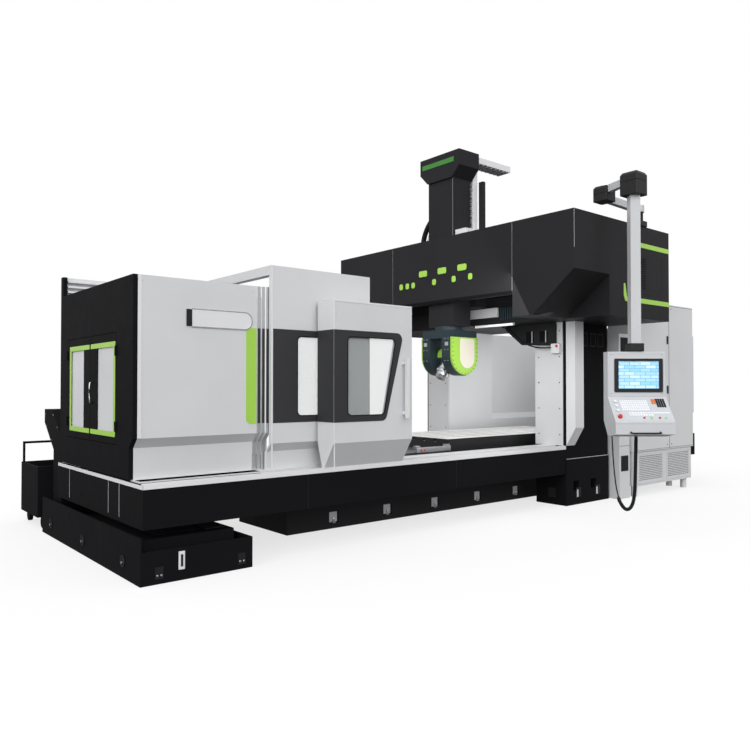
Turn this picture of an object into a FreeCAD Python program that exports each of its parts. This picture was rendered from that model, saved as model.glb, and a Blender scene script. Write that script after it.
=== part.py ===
# Double column machining centre with a swivelling fork head.
# +X runs along the table, +Y from the operator's side to the far side, +Z up.
# The origin is on the floor under the head's vertical axis. All sizes are in millimetres.

import FreeCAD, Part
import os
import Sketcher

doc = FreeCAD.newDocument("machining_centre")
sheet = doc.addObject("Spreadsheet::Sheet", "Sizes")
X_AXIS = FreeCAD.Vector(1, 0, 0)
Y_AXIS = FreeCAD.Vector(0, 1, 0)
Z_AXIS = FreeCAD.Vector(0, 0, 1)
subparts = []


class Size:
    """A length that carries both its value and the sheet expression it comes from."""

    def __init__(self, text, value):
        self.text = text
        self.value = value

    def __add__(self, other):
        return joined(self, "+", other, self.value + number(other))

    def __radd__(self, other):
        return joined(other, "+", self, number(other) + self.value)

    def __sub__(self, other):
        return joined(self, "-", other, self.value - number(other))

    def __rsub__(self, other):
        return joined(other, "-", self, number(other) - self.value)

    def __mul__(self, other):
        return joined(self, "*", other, self.value * number(other))

    __rmul__ = __mul__

    def __truediv__(self, other):
        return joined(self, "/", other, self.value / number(other))

    def __neg__(self):
        return Size(f"(0 - {self.text})", -self.value)


def number(item):
    """The plain value of a size or a number."""
    return item.value if isinstance(item, Size) else float(item)


def words(item):
    """The sheet expression of a size or a number."""
    return item.text if isinstance(item, Size) else repr(float(item))


def joined(left, sign, right, value):
    """A size worked out from two others."""
    return Size(f"({words(left)} {sign} {words(right)})", value)


def size(alias, value, meaning):
    """Writes one driving dimension into the sheet and returns it."""
    row = str(size.next_row)
    size.next_row += 1
    sheet.set("A" + row, meaning)
    sheet.set("B" + row, str(value))
    sheet.setAlias("B" + row, alias)
    return Size("Sizes." + alias, float(value))


size.next_row = 1


def bind(item, place, amount):
    """Ties one property of an object to the sheet."""
    item.setExpression(place, words(amount))


def add(kind, name):
    """A new object of the document, labelled with its name."""
    item = doc.addObject(kind, name)
    item.Label = name
    return item


def finished(item, name):
    """Marks an object as a sub-part and names it after its file."""
    item.Label = name
    subparts.append(item)
    return item


def block(name, low, high):
    """A box between two corners."""
    item = add("Part::Box", name)
    for side, start, end in zip(("Length", "Width", "Height"), low, high):
        bind(item, side, end - start)
    for letter, start in zip("xyz", low):
        bind(item, "Placement.Base." + letter, start)
    return item


def rod(name, start, length, radius, axis=Z_AXIS):
    """A cylinder from its start point along an axis."""
    item = add("Part::Cylinder", name)
    item.Placement = FreeCAD.Placement(FreeCAD.Vector(), FreeCAD.Rotation(Z_AXIS, axis))
    bind(item, "Radius", radius)
    bind(item, "Height", length)
    for letter, amount in zip("xyz", start):
        bind(item, "Placement.Base." + letter, amount)
    return item


def taper(name, start, length, radius, end_radius, axis=Z_AXIS):
    """A cone frustum from its start point along an axis."""
    item = add("Part::Cone", name)
    item.Placement = FreeCAD.Placement(FreeCAD.Vector(), FreeCAD.Rotation(Z_AXIS, axis))
    bind(item, "Radius1", radius)
    bind(item, "Radius2", end_radius)
    bind(item, "Height", length)
    for letter, amount in zip("xyz", start):
        bind(item, "Placement.Base." + letter, amount)
    return item


def cut(name, base, tool):
    """The base less the tool."""
    item = add("Part::Cut", name)
    item.Base = base
    item.Tool = tool
    return item


def fuse(name, pieces):
    """Several shapes as one."""
    item = add("Part::MultiFuse", name)
    item.Shapes = pieces
    item.Refine = True
    return item


def gather(name, pieces):
    """Solids that don't touch, kept in one node."""
    item = add("Part::Compound", name)
    item.Links = pieces
    return item


# The role of each origin plane, its drawing direction's sign and whether the pad is turned round.
PLANES = {"x": ("YZ_Plane", 1, False), "y": ("XZ_Plane", -1, True), "z": ("XY_Plane", 1, False)}


def profile(name, axis, corners, start, end):
    """A closed outline drawn across an axis and padded from start to end along it.

    Corners are (first, second) pairs: (Y, Z) across X, (X, Z) across Y and (X, Y) across Z.
    """
    role, sign, turned = PLANES[axis]
    body = add("PartDesign::Body", name)
    plane = [item for item in body.Origin.OriginFeatures if item.Role == role][0]
    sketch = body.newObject("Sketcher::SketchObject", name + "_outline")
    sketch.AttachmentSupport = (plane, [""])
    sketch.MapMode = "FlatFace"
    bind(sketch, "AttachmentOffset.Base.z", start * sign)
    points = [FreeCAD.Vector(number(a), number(b), 0) for a, b in corners]
    for here, there in zip(points, points[1:] + points[:1]):
        sketch.addGeometry(Part.LineSegment(here, there), False)
    count = len(points)
    for index in range(count):
        sketch.addConstraint(Sketcher.Constraint("Coincident", index, 2, (index + 1) % count, 1))
    for index, pair in enumerate(corners):
        for kind, amount in zip(("DistanceX", "DistanceY"), pair):
            where = sketch.addConstraint(
                Sketcher.Constraint(kind, -1, 1, index, 1, number(amount))
            )
            bind(sketch, f"Constraints[{where}]", amount)
    pad = body.newObject("PartDesign::Pad", name + "_pad")
    pad.Profile = sketch
    pad.Reversed = turned
    bind(pad, "Length", end - start)
    return body


def rounded(name, base, axis, radius):
    """The base with the edges that run along an axis rounded off."""
    doc.recompute()
    found = []
    for index, edge in enumerate(base.Shape.Edges, 1):
        run = edge.Vertexes[-1].Point - edge.Vertexes[0].Point
        if run.Length > 0 and abs(run.normalize().dot(axis)) > 0.999:
            found.append((index, number(radius), number(radius)))
    item = add("Part::Fillet", name)
    item.Base = base
    item.Edges = found
    return item


def mirrored(name, base):
    """The base seen in the machine's long middle plane."""
    item = add("Part::Mirroring", name)
    item.Source = base
    item.Normal = Y_AXIS
    return item


def turned_round(name, base):
    """The base turned half round the vertical axis."""
    item = add("Part::Compound", name)
    item.Links = [base]
    item.Placement = FreeCAD.Placement(FreeCAD.Vector(), FreeCAD.Rotation(Z_AXIS, 180))
    return item


# Driving dimensions: bed, pan and table
bed_length = size("bed_length", 6048, "bed length along the travel")
bed_width = size("bed_width", 1040, "bed width")
bed_height = size("bed_height", 700, "bed height to its rail seats")
rail_width = size("rail_width", 90, "guide rail width")
rail_height = size("rail_height", 28, "guide rail height")
rail_spread = size("rail_spread", 780, "distance between the two rails' middles")
seat_gap = size("seat_gap", 0.3, "running gap on slides and seats")
table_length = size("table_length", 3200, "table length")
table_width = size("table_width", 1300, "table width")
table_thick = size("table_thick", 200, "table thickness")
table_middle = size("table_middle", 910, "table middle in the stored pose")
slot_neck = size("slot_neck", 22, "T-slot neck width")
slot_foot = size("slot_foot", 38, "T-slot foot width")
slot_neck_deep = size("slot_neck_deep", 24, "T-slot neck depth")
slot_foot_deep = size("slot_foot_deep", 18, "T-slot foot height")
slot_pitch = size("slot_pitch", 200, "T-slot spacing")
pan_left = size("pan_left", 4918, "left end of the pan from the head")
pan_right = size("pan_right", 4918, "right end of the pan from the head")
pan_near = size("pan_near", 1322, "near pan wall from the middle plane, left half")
pan_near_right = size("pan_near_right", 1100, "near pan wall from the middle plane, right half")
pan_far = size("pan_far", 1010, "far pan wall from the middle plane")
pan_low = size("pan_low", 425, "pan underside")
pan_high = size("pan_high", 790, "pan wall top")
pan_wall = size("pan_wall", 30, "pan wall with its folded rim")
pan_floor = size("pan_floor", 12, "pan floor thickness")
door_rail_high = size("door_rail_high", 14, "door rail height")
door_rail_wide = size("door_rail_wide", 40, "door rail width")
pocket_count = 7
pocket_pitch = size("pocket_pitch", 800, "spacing of the levelling pockets")
pocket_side = size("pocket_side", 130, "levelling pocket side")
pocket_deep = size("pocket_deep", 90, "levelling pocket depth")
pocket_low = size("pocket_low", 60, "levelling pocket sill above the floor")

# Columns and beam
column_front = size("column_front", 850, "column front face from the head")
column_deep = size("column_deep", 1010, "column depth along X")
column_outer = size("column_outer", 1322, "column outer face from the middle plane")
column_thick = size("column_thick", 480, "column width across the machine")
column_window = size("column_window", 620, "height of the column's foot block")
foot_proud = size("foot_proud", 14, "foot block proud of the column")
beam_low = size("beam_low", 2465, "underside of the beam ends")
beam_high = size("beam_high", 3650, "top of the beam covers")
beam_front = size("beam_front", 243, "front cover's face before the head")
beam_back = size("beam_back", 1920, "back of the beam covers")
beam_half = size("beam_half", 2217, "half length of the beam covers")
beam_seam = size("beam_seam", 1320, "seam of an end cover from the middle plane")
chamfer_top = size("chamfer_top", 2960, "top of the slanted cut under a beam end")
chamfer_in = size("chamfer_in", 596, "inward run of the slanted cut")
chamfer_deep = size("chamfer_deep", 730, "depth of the slanted cut along X")
front_cover_low = size("front_cover_low", 2747, "underside of the middle front cover")
cover_sheet = size("cover_sheet", 30, "cover panel thickness with its flange")
core_front = size("core_front", 420, "cross rail front face")
core_high = size("core_high", 3560, "cross rail top")
slide_low = size("slide_low", 2740, "lower cross guide rail")
slide_high = size("slide_high", 3330, "upper cross guide rail")
slide_wide = size("slide_wide", 85, "cross guide rail height")
slide_proud = size("slide_proud", 40, "cross guide rail stand-off")

# Saddle, ram and head
saddle_width = size("saddle_width", 700, "saddle width")
saddle_low = size("saddle_low", 2700, "saddle underside")
saddle_high = size("saddle_high", 3600, "saddle top")
ram_wide = size("ram_wide", 480, "ram width")
ram_deep = size("ram_deep", 340, "ram depth")
ram_low = size("ram_low", 2430, "ram underside")
ram_high = size("ram_high", 4540, "ram top below its cap")
cap_wide = size("cap_wide", 760, "ram cap width")
cap_deep = size("cap_deep", 400, "ram cap depth")
cap_high = size("cap_high", 285, "ram cap height")
head_joint = size("head_joint", 0.3, "gap at the head's swivel")
flange_radius = size("flange_radius", 205, "head flange radius")
flange_high = size("flange_high", 60, "head flange height")
fork_wide = size("fork_wide", 540, "fork width along X")
fork_thick = size("fork_thick", 150, "fork arm thickness")
fork_gap = size("fork_gap", 230, "gap between the fork arms")
fork_low = size("fork_low", 2016, "tilt axis height")
fork_bridge = size("fork_bridge", 110, "fork bridge height")
cheek_thick = size("cheek_thick", 32, "cheek cover thickness")
cheek_rim = size("cheek_rim", 12, "cheek cover inset from the fork arm")
tilt_radius = size("tilt_radius", 130, "tilting housing radius")
nose_radius = size("nose_radius", 86, "spindle housing radius")
nose_length = size("nose_length", 320, "spindle housing below the tilt axis")
nose_tip = size("nose_tip", 62, "spindle nose radius")
nose_proud = size("nose_proud", 34, "spindle nose length")
bore_radius = size("bore_radius", 22, "tool socket radius")
bore_deep = size("bore_deep", 90, "tool socket depth")
tilt_angle = size("tilt_angle", 30, "stored tilt of the spindle in degrees")


def across(count, pitch):
    """Places of a row of equal steps about zero."""
    return [pitch * (index - (count - 1) / 2) for index in range(count)]


# Bed: a casting with levelling pockets along both feet, carrying the two guide rails
bed_body = block("bed_casting", (-bed_length / 2, -bed_width / 2, 0), (bed_length / 2, bed_width / 2, bed_height))
pockets = []
for side_name, side in (("near", -1), ("far", 1)):
    for index, place in enumerate(across(pocket_count, pocket_pitch), 1):
        outer = bed_width / 2 * side
        inner = (bed_width / 2 - pocket_deep) * side
        low_y, high_y = (outer, inner) if side < 0 else (inner, outer)
        pockets.append(
            block(
                f"bed_pocket_{side_name}_{index}",
                (place - pocket_side / 2, low_y, pocket_low),
                (place + pocket_side / 2, high_y, pocket_low + pocket_side),
            )
        )
hollowed_bed = cut("bed_with_pockets", bed_body, fuse("bed_pockets", pockets))
rails = [
    block(
        f"bed_rail_{index}",
        (-bed_length / 2, middle - rail_width / 2, bed_height),
        (bed_length / 2, middle + rail_width / 2, bed_height + rail_height),
    )
    for index, middle in enumerate((-rail_spread / 2, rail_spread / 2), 1)
]
bed = finished(fuse("bed", [hollowed_bed] + rails), "bed")

# Table with T-slots, running on the rails
table_low = bed_height + rail_height + seat_gap
table_high = table_low + table_thick
table_left = table_middle - table_length / 2
table_right = table_middle + table_length / 2
table_block = block("table_block", (table_left, -table_width / 2, table_low), (table_right, table_width / 2, table_high))
slot_tools = []
for index, middle in enumerate(across(5, slot_pitch), 1):
    neck_low = table_high - slot_neck_deep
    foot_low = neck_low - slot_foot_deep
    slot_tools.append(
        profile(
            f"slot_{index}",
            "x",
            [
                (middle - slot_foot / 2, foot_low),
                (middle + slot_foot / 2, foot_low),
                (middle + slot_foot / 2, neck_low),
                (middle + slot_neck / 2, neck_low),
                (middle + slot_neck / 2, table_high + slot_neck),
                (middle - slot_neck / 2, table_high + slot_neck),
                (middle - slot_neck / 2, neck_low),
                (middle - slot_foot / 2, neck_low),
            ],
            table_left - slot_neck,
            table_right + slot_neck,
        )
    )
table = finished(cut("table", table_block, gather("table_slots", slot_tools)), "table")


def pan(name, start, end, near_half):
    """Half of the splash pan: floor strips beside the bed, two long walls and an end wall."""
    closed_left = number(start) < -number(column_front)
    near = -near_half
    far = pan_far
    floor_in = bed_width / 2 + seat_gap
    end_low = start if closed_left else end - pan_wall
    end_high = start + pan_wall if closed_left else end
    pieces = [
        block(name + "_near_wall", (start, near, pan_low), (end, near + pan_wall, pan_high)),
        block(name + "_far_wall", (start, far - pan_wall, pan_low), (end, far, pan_high)),
        block(name + "_near_floor", (start, near, pan_low), (end, -floor_in, pan_low + pan_floor)),
        block(name + "_far_floor", (start, floor_in, pan_low), (end, far, pan_low + pan_floor)),
        block(name + "_end_wall", (end_low, near, pan_low), (end_high, far, pan_high)),
    ]
    bed_end = bed_length / 2 + seat_gap
    outer_low = start if closed_left else bed_end
    outer_high = -bed_end if closed_left else end
    pieces.append(block(name + "_end_floor", (outer_low, near, pan_low), (outer_high, far, pan_low + pan_floor)))
    return finished(fuse(name, pieces), name)


pan("pan_left", -pan_left, column_front - seat_gap, pan_near)
column_back = column_front + column_deep
pan("pan_right", column_back + seat_gap, pan_right, pan_near_right)

# Columns: a wider foot block with levelling pockets, and the upright
for side_name, side in (("near", -1), ("far", 1)):
    outer = column_outer * side
    inner = (column_outer - column_thick) * side
    low_y, high_y = (outer, inner) if side < 0 else (inner, outer)
    upright = block(
        f"column_{side_name}_upright", (column_front, low_y, 0), (column_back, high_y, beam_low - seat_gap)
    )
    foot_low = low_y - foot_proud if side < 0 else low_y
    foot_high = high_y if side < 0 else high_y + foot_proud
    foot = block(
        f"column_{side_name}_foot", (column_front, foot_low, 0), (column_back, foot_high, column_window)
    )
    holes = []
    for index, share in enumerate((0.22, 0.62), 1):
        middle = column_front + column_deep * share
        edge = foot_low if side < 0 else foot_high - pocket_deep
        holes.append(
            block(
                f"column_{side_name}_pocket_{index}",
                (middle - pocket_side / 2, edge, pocket_low + pocket_side),
                (middle + pocket_side / 2, edge + pocket_deep, pocket_low + pocket_side * 2),
            )
        )
    solid = fuse(f"column_{side_name}_solid", [upright, foot])
    cut_column = cut(f"column_{side_name}", solid, fuse(f"column_{side_name}_pockets", holes))
    finished(cut_column, f"column_{side_name}")

# Cross rail between the end covers, with its two guide rails on the front
core = block("cross_rail_core", (core_front, -beam_seam + seat_gap, beam_low), (beam_back, beam_seam - seat_gap, core_high))
guides = [
    block(
        f"cross_guide_{index}",
        (core_front - slide_proud, -beam_seam + seat_gap, low),
        (core_front, beam_seam - seat_gap, low + slide_wide),
    )
    for index, low in enumerate((slide_low, slide_high), 1)
]
finished(fuse("cross_rail", [core] + guides), "cross_rail")

# End covers of the beam: boxes over the columns with a slanted cut under their front part
for side_name, side in (("near", -1), ("far", 1)):
    outer = beam_half * side
    inner = beam_seam * side
    low_y, high_y = (outer, inner) if side < 0 else (inner, outer)
    box_part = block(f"beam_end_{side_name}_box", (-beam_front, low_y, beam_low), (beam_back, high_y, beam_high))
    corners = [
        (outer * 1.01, beam_low * 0.99),
        (outer * 1.01, chamfer_top),
        (outer, chamfer_top),
        ((beam_half - chamfer_in) * side, beam_low),
        ((beam_half - chamfer_in) * side, beam_low * 0.99),
    ]
    slant = profile(
        f"beam_end_{side_name}_slant", "x", corners, -beam_front - cover_sheet, -beam_front + chamfer_deep
    )
    finished(cut(f"beam_end_{side_name}", box_part, slant), f"beam_end_{side_name}")

# Middle front cover, a folded panel between the end covers
front_panel = profile(
    "beam_cover_front",
    "y",
    [
        (-beam_front, front_cover_low),
        (-beam_front + cover_sheet * 2, front_cover_low),
        (-beam_front + cover_sheet * 2, front_cover_low + cover_sheet),
        (-beam_front + cover_sheet, front_cover_low + cover_sheet),
        (-beam_front + cover_sheet, beam_high),
        (-beam_front, beam_high),
    ],
    -beam_seam + seat_gap,
    beam_seam - seat_gap,
)
finished(front_panel, "beam_cover_front")

# Saddle on the cross rail, and the ram that slides up and down on it
saddle_front = ram_deep / 2 + seat_gap
saddle_back = core_front - slide_proud - seat_gap
saddle = block(
    "saddle", (saddle_front, -saddle_width / 2, saddle_low), (saddle_back, saddle_width / 2, saddle_high)
)
finished(saddle, "saddle")
ram_bar = block("ram_bar", (-ram_deep / 2, -ram_wide / 2, ram_low), (ram_deep / 2, ram_wide / 2, ram_high))
ram_cap = profile(
    "ram_cap",
    "x",
    [
        (-cap_wide / 2, ram_high + cap_high),
        (-cap_wide / 2, ram_high + cap_high / 4),
        (-ram_wide / 2, ram_high - cap_high / 4),
        (ram_wide / 2, ram_high - cap_high / 4),
        (cap_wide / 2, ram_high + cap_high / 4),
        (cap_wide / 2, ram_high + cap_high),
    ],
    -cap_deep / 2,
    cap_deep / 2,
)
finished(fuse("ram", [ram_bar, ram_cap]), "ram")

# Cable carriers that stand on the saddle: a ladder with its tray, and an arch of hoses
tower_front = size("tower_front", 215, "cable ladder's front from the head")
tower_deep = size("tower_deep", 95, "cable ladder depth")
tower_near = size("tower_near", 250, "cable ladder's near side from the middle plane")
tower_wide = size("tower_wide", 120, "cable ladder width")
tray_low = size("tray_low", 4760, "cable tray underside")
tray_high = size("tray_high", 85, "cable tray height")
tray_long = size("tray_long", 820, "cable tray length")
tray_wide = size("tray_wide", 230, "cable tray width")
rung_high = size("rung_high", 26, "ladder rung height")
rung_pitch = size("rung_pitch", 92, "ladder rung spacing")
stile = size("stile", 22, "ladder stile thickness")
tower_pieces = [
    block(
        f"tower_stile_{index}",
        (tower_front, low, saddle_high),
        (tower_front + tower_deep, low + stile, tray_low),
    )
    for index, low in enumerate((-tower_near, -tower_near + tower_wide - stile), 1)
]
for index in range(1, 13):
    height = saddle_high + rung_pitch * index
    tower_pieces.append(
        block(
            f"tower_rung_{index}",
            (tower_front + stile, -tower_near, height),
            (tower_front + tower_deep - stile, -tower_near + tower_wide, height + rung_high),
        )
    )
tower_pieces.append(
    block(
        "tower_tray",
        (tower_front, -tower_near, tray_low),
        (tower_front + tray_long, -tower_near + tray_wide, tray_low + tray_high),
    )
)
finished(fuse("cable_ladder", tower_pieces), "cable_ladder")

arch_radius = size("arch_radius", 500, "hose arch radius")
arch_tube = size("arch_tube", 38, "hose arch thickness")
arch_inner = size("arch_inner", 300, "hose arch's upper end from the middle plane")
arch_foot = size("arch_foot", 3690, "hose arch's lower end")
arch_middle = tower_front + arch_tube
arch = add("Part::Torus", "hose_arch_bow")
bind(arch, "Radius1", arch_radius)
bind(arch, "Radius2", arch_tube)
arch.Angle3 = 90
arch.Placement = FreeCAD.Placement(FreeCAD.Vector(), FreeCAD.Rotation(Y_AXIS, Z_AXIS, X_AXIS, "XYZ"))
bind(arch, "Placement.Base.x", arch_middle)
bind(arch, "Placement.Base.y", arch_inner)
bind(arch, "Placement.Base.z", arch_foot)
arch_top = arch_foot + arch_radius
arch_post = block(
    "hose_arch_post",
    (tower_front, arch_inner - arch_tube, saddle_high),
    (tower_front + arch_tube * 2, arch_inner, arch_top + arch_tube),
)
finished(fuse("hose_arch", [arch, arch_post]), "hose_arch")

# Swivel flange and fork under the ram
flange_low = ram_low - head_joint - flange_high
bridge_low = flange_low - fork_bridge
flange = rod("head_flange_disc", (0, 0, flange_low), flange_high, flange_radius)
arm_out = fork_gap / 2 + fork_thick
bridge = block("fork_bridge_block", (-fork_wide / 2, -arm_out, bridge_low), (fork_wide / 2, arm_out, flange_low))
fork_pieces = [flange, bridge]
hub_gap = size("hub_gap", 0.3, "running gap at the tilt hubs")
hub_radius = size("hub_radius", 70, "tilt hub radius")
for side_name, start in (("near", -arm_out), ("far", fork_gap / 2)):
    fork_pieces.append(
        block(
            f"fork_arm_{side_name}",
            (-fork_wide / 2, start, fork_low),
            (fork_wide / 2, start + fork_thick, bridge_low),
        )
    )
    fork_pieces.append(
        rod(f"fork_round_{side_name}", (0, start + fork_thick, fork_low), fork_thick, fork_wide / 2, -Y_AXIS)
    )
finished(fuse("fork", fork_pieces), "fork")
for side_name, start in (("near", -arm_out - seat_gap - cheek_thick), ("far", arm_out + seat_gap)):
    half = fork_wide / 2 - cheek_rim
    plate = block(
        f"cheek_{side_name}_plate", (-half, start, fork_low), (half, start + cheek_thick, bridge_low + cheek_rim)
    )
    round_part = rod(f"cheek_{side_name}_round", (0, start + cheek_thick, fork_low), cheek_thick, half, -Y_AXIS)
    finished(fuse(f"cheek_cover_{side_name}", [plate, round_part]), f"cheek_cover_{side_name}")

# Tilting spindle housing between the fork arms, and the spindle that turns in it
hub_half = fork_gap / 2 - hub_gap
nose_low = fork_low - nose_length
drum = rod("tilt_drum", (0, hub_half, fork_low), hub_half * 2, tilt_radius, -Y_AXIS)
barrel = rod("tilt_barrel", (0, 0, nose_low), nose_length, nose_radius)
collar = taper("tilt_collar", (0, 0, nose_low - nose_proud), nose_proud, nose_tip * 1.1, nose_radius)
spindle_clear = size("spindle_clear", 1, "running gap round the spindle")
spindle_seat = rod(
    "spindle_seat",
    (0, 0, nose_low - nose_proud),
    bore_deep * 2 + spindle_clear,
    nose_tip - spindle_clear,
)
spindle_radius = nose_tip - spindle_clear * 2
spindle_low = nose_low - nose_proud - spindle_clear
spindle_bar = rod("spindle_bar", (0, 0, spindle_low), bore_deep * 2, spindle_radius)
spindle_bore = rod("spindle_bore", (0, 0, spindle_low), bore_deep, bore_radius)
tilt_turn = FreeCAD.Placement(
    FreeCAD.Vector(), FreeCAD.Rotation(Y_AXIS, tilt_angle.value), FreeCAD.Vector(0, 0, fork_low.value)
)
housing = gather("spindle_housing", [cut("spindle_housing_bored", fuse("tilt_solid", [drum, barrel, collar]), spindle_seat)])
spindle = gather("spindle", [cut("spindle_solid", spindle_bar, spindle_bore)])
for item in (housing, spindle):
    item.Placement = tilt_turn
    finished(item, item.Name)

# Enclosure sizes
shell_near = size("shell_near", 1089, "near panel plane from the middle plane")
shell_far = size("shell_far", 960, "far panel plane from the middle plane")
shell_high = size("shell_high", 2550, "left housing height")
shell_wall = size("shell_wall", 40, "housing panel with its flanges")
fixed_end = size("fixed_end", 3730, "right end of the fixed side panel")
ledge_high = size("ledge_high", 1157, "top of the slanted ledge")
ledge_drop = size("ledge_drop", 85, "height and inset of the slanted ledge")
panel_low = pan_high + door_rail_high + seat_gap
end_door_half = size("end_door_half", 700, "half width of the end doors' opening")
end_door_low = size("end_door_low", 1080, "end doors' sill")
end_door_high = size("end_door_high", 2080, "end doors' head")
door_gap = size("door_gap", 6, "gap round a door leaf")
leaf_thick = size("leaf_thick", 35, "door leaf thickness")
pane_inset = size("pane_inset", 130, "pane edge from the leaf edge")
pane_thick = size("pane_thick", 8, "pane thickness")


def side_panel(name, plane, side, low, high, start, end, thick, ledge, drop):
    """A housing side: upright panel, ledge slanting inwards and the skirt below it."""
    outer = plane * side
    inset = (plane - drop) * side
    inner = (plane - thick) * side
    foot_inner = (plane - drop - thick) * side
    corners = [
        (outer, high),
        (outer, ledge),
        (inset, ledge - drop),
        (inset, low),
        (foot_inner, low),
        (foot_inner, ledge - drop - thick / 4),
        (inner, ledge - thick / 4),
        (inner, high),
    ]
    return profile(name, "x", corners, start, end)


# Rails on the pan's near wall and shelves inside it, which carry the housing and its doors
shelf_low = size("shelf_low", 740, "shelf underside")
rail_top = pan_high + door_rail_high
hood_near = size("hood_near", 1170, "sliding hood's near plane from the middle plane")
hood_far = size("hood_far", 1041, "sliding hood's far plane from the middle plane")
hood_high = size("hood_high", 2755, "sliding hood height")
hood_left = size("hood_left", 3620, "sliding hood's left end from the head")
hood_right = size("hood_right", 2410, "sliding hood's right end from the head")
near_rail = pan_near - pan_wall / 2
rail_end = column_front - seat_gap
near_shelf_in = shell_near - ledge_drop - shell_wall
far_shelf_in = shell_far - ledge_drop - shell_wall
rail_pieces = [
    block(
        "rail_near",
        (-pan_left, -near_rail - door_rail_wide / 2, pan_high),
        (rail_end, -near_rail + door_rail_wide / 2, rail_top),
    ),
    block("shelf_near", (-pan_left + pan_wall, -hood_near, shelf_low), (rail_end, -near_shelf_in, rail_top)),
    block("shelf_far", (-pan_left + pan_wall, far_shelf_in, shelf_low), (rail_end, pan_far - pan_wall, rail_top)),
]
finished(gather("door_rails", rail_pieces), "door_rails")

# Left end: black end panel round the double doors
end_corners = [
    (-shell_near, shell_high),
    (-shell_near, ledge_high),
    (-shell_near + ledge_drop, ledge_high - ledge_drop),
    (-shell_near + ledge_drop, rail_top + seat_gap),
    (shell_far, rail_top + seat_gap),
    (shell_far, hood_high),
    (shell_far - shell_wall * 2, hood_high),
    (shell_far - shell_wall * 2, shell_high),
]
end_sheet = profile("end_sheet", "x", end_corners, -pan_left, -pan_left + shell_wall)
end_hole = block(
    "end_hole",
    (-pan_left - shell_wall, -end_door_half, end_door_low),
    (-pan_left + shell_wall * 2, end_door_half, end_door_high),
)
hinge_radius = size("hinge_radius", 8, "end door knuckle radius")
hinge_high = size("hinge_high", 90, "end door knuckle height")
hinge_end = size("hinge_end", 120, "knuckle from the opening's foot and head")
hinge_lug = size("hinge_lug", 26, "knuckle lug width")
hinge_x = -pan_left - hinge_radius
knuckles = []
for side_name, side in (("near", -1), ("far", 1)):
    hinge_y = (end_door_half - door_gap / 2) * side
    lug_edge = (end_door_half - door_gap / 2 + hinge_lug) * side
    low_y, high_y = (lug_edge, hinge_y) if side < 0 else (hinge_y, lug_edge)
    for index, low in enumerate((end_door_low + hinge_end, end_door_high - hinge_end - hinge_high), 1):
        knuckles.append(rod(f"knuckle_{side_name}_{index}", (hinge_x, hinge_y, low), hinge_high, hinge_radius))
        knuckles.append(
            block(f"lug_{side_name}_{index}", (hinge_x, low_y, low), (-pan_left, high_y, low + hinge_high))
        )
end_cut = cut("end_panel_cut", end_sheet, end_hole)
finished(fuse("end_panel_left", [end_cut] + knuckles), "end_panel_left")
pane_out = size("pane_out", 55, "end door pane from the leaf's hinge edge")
pane_mid = size("pane_mid", 190, "end door pane from the meeting line")
pane_rise = size("pane_rise", 105, "end door pane from the leaf's foot and head")
for side_name, side in (("near", -1), ("far", 1)):
    hinge_edge = (end_door_half - door_gap) * side
    meeting = door_gap / 2 * side
    low_y, high_y = (hinge_edge, meeting) if side < 0 else (meeting, hinge_edge)
    leaf_low = end_door_low + door_gap
    leaf_high = end_door_high - door_gap
    leaf = block(
        f"end_door_{side_name}_leaf", (-pan_left, low_y, leaf_low), (-pan_left + leaf_thick, high_y, leaf_high)
    )
    pane_hinge = (end_door_half - door_gap - pane_out) * side
    pane_meet = (door_gap / 2 + pane_mid) * side
    pane_a, pane_b = (pane_hinge, pane_meet) if side < 0 else (pane_meet, pane_hinge)
    pane_low = leaf_low + pane_rise
    pane_high = leaf_high - pane_rise
    hole = block(
        f"end_door_{side_name}_hole",
        (-pan_left - leaf_thick, pane_a, pane_low),
        (-pan_left + leaf_thick * 2, pane_b, pane_high),
    )
    finished(cut(f"end_door_{side_name}", leaf, hole), f"end_door_{side_name}")
    pane_front = -pan_left + leaf_thick / 3
    pane = block(
        f"end_pane_{side_name}",
        (pane_front, pane_a + seat_gap, pane_low + seat_gap),
        (pane_front + pane_thick, pane_b - seat_gap, pane_high - seat_gap),
    )
    finished(pane, f"end_pane_{side_name}")

# Fixed side panels of the left housing
panel_start = -pan_left + shell_wall + seat_gap
panel_foot = rail_top + seat_gap
near_side = side_panel(
    "side_panel_near", shell_near, -1, panel_foot, shell_high, panel_start, -fixed_end, shell_wall, ledge_high, ledge_drop
)
finished(near_side, "side_panel_near")
far_side = side_panel(
    "side_panel_far", shell_far, 1, panel_foot, hood_high, panel_start, -fixed_end, shell_wall, ledge_high, ledge_drop
)
finished(far_side, "side_panel_far")

# Sliding hood: two side leaves joined by a bar over the top, with a window in the near leaf
hood_ledge = size("hood_ledge", 1056, "top of the hood's slanted ledge")
hood_drop = size("hood_drop", 80, "height and inset of the hood's ledge")
bar_high = size("bar_high", 90, "hood bar height")
bar_wide = size("bar_wide", 80, "hood bar width")
window_low = size("window_low", 1306, "front windows' sill")
window_high = size("window_high", 2093, "front windows' head")
hood_window_left = size("hood_window_left", 3330, "hood window's left edge from the head")
hood_window_right = size("hood_window_right", 2720, "hood window's right edge from the head")
leaf_near = side_panel(
    "hood_leaf_near", hood_near, -1, panel_foot, hood_high, -hood_left, -hood_right, shell_wall, hood_ledge, hood_drop
)
leaf_far = side_panel(
    "hood_leaf_far", hood_far, 1, panel_foot, hood_high, -hood_left, -hood_right, shell_wall, hood_ledge, hood_drop
)
hood_hole = block(
    "hood_hole",
    (-hood_window_left, -hood_near - shell_wall, window_low),
    (-hood_window_right, -hood_near + shell_wall * 2, window_high),
)
bar = block(
    "hood_bar",
    (-hood_left, -hood_near + shell_wall / 2, hood_high - bar_high),
    (-hood_left + bar_wide, hood_far - shell_wall / 2, hood_high),
)
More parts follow.
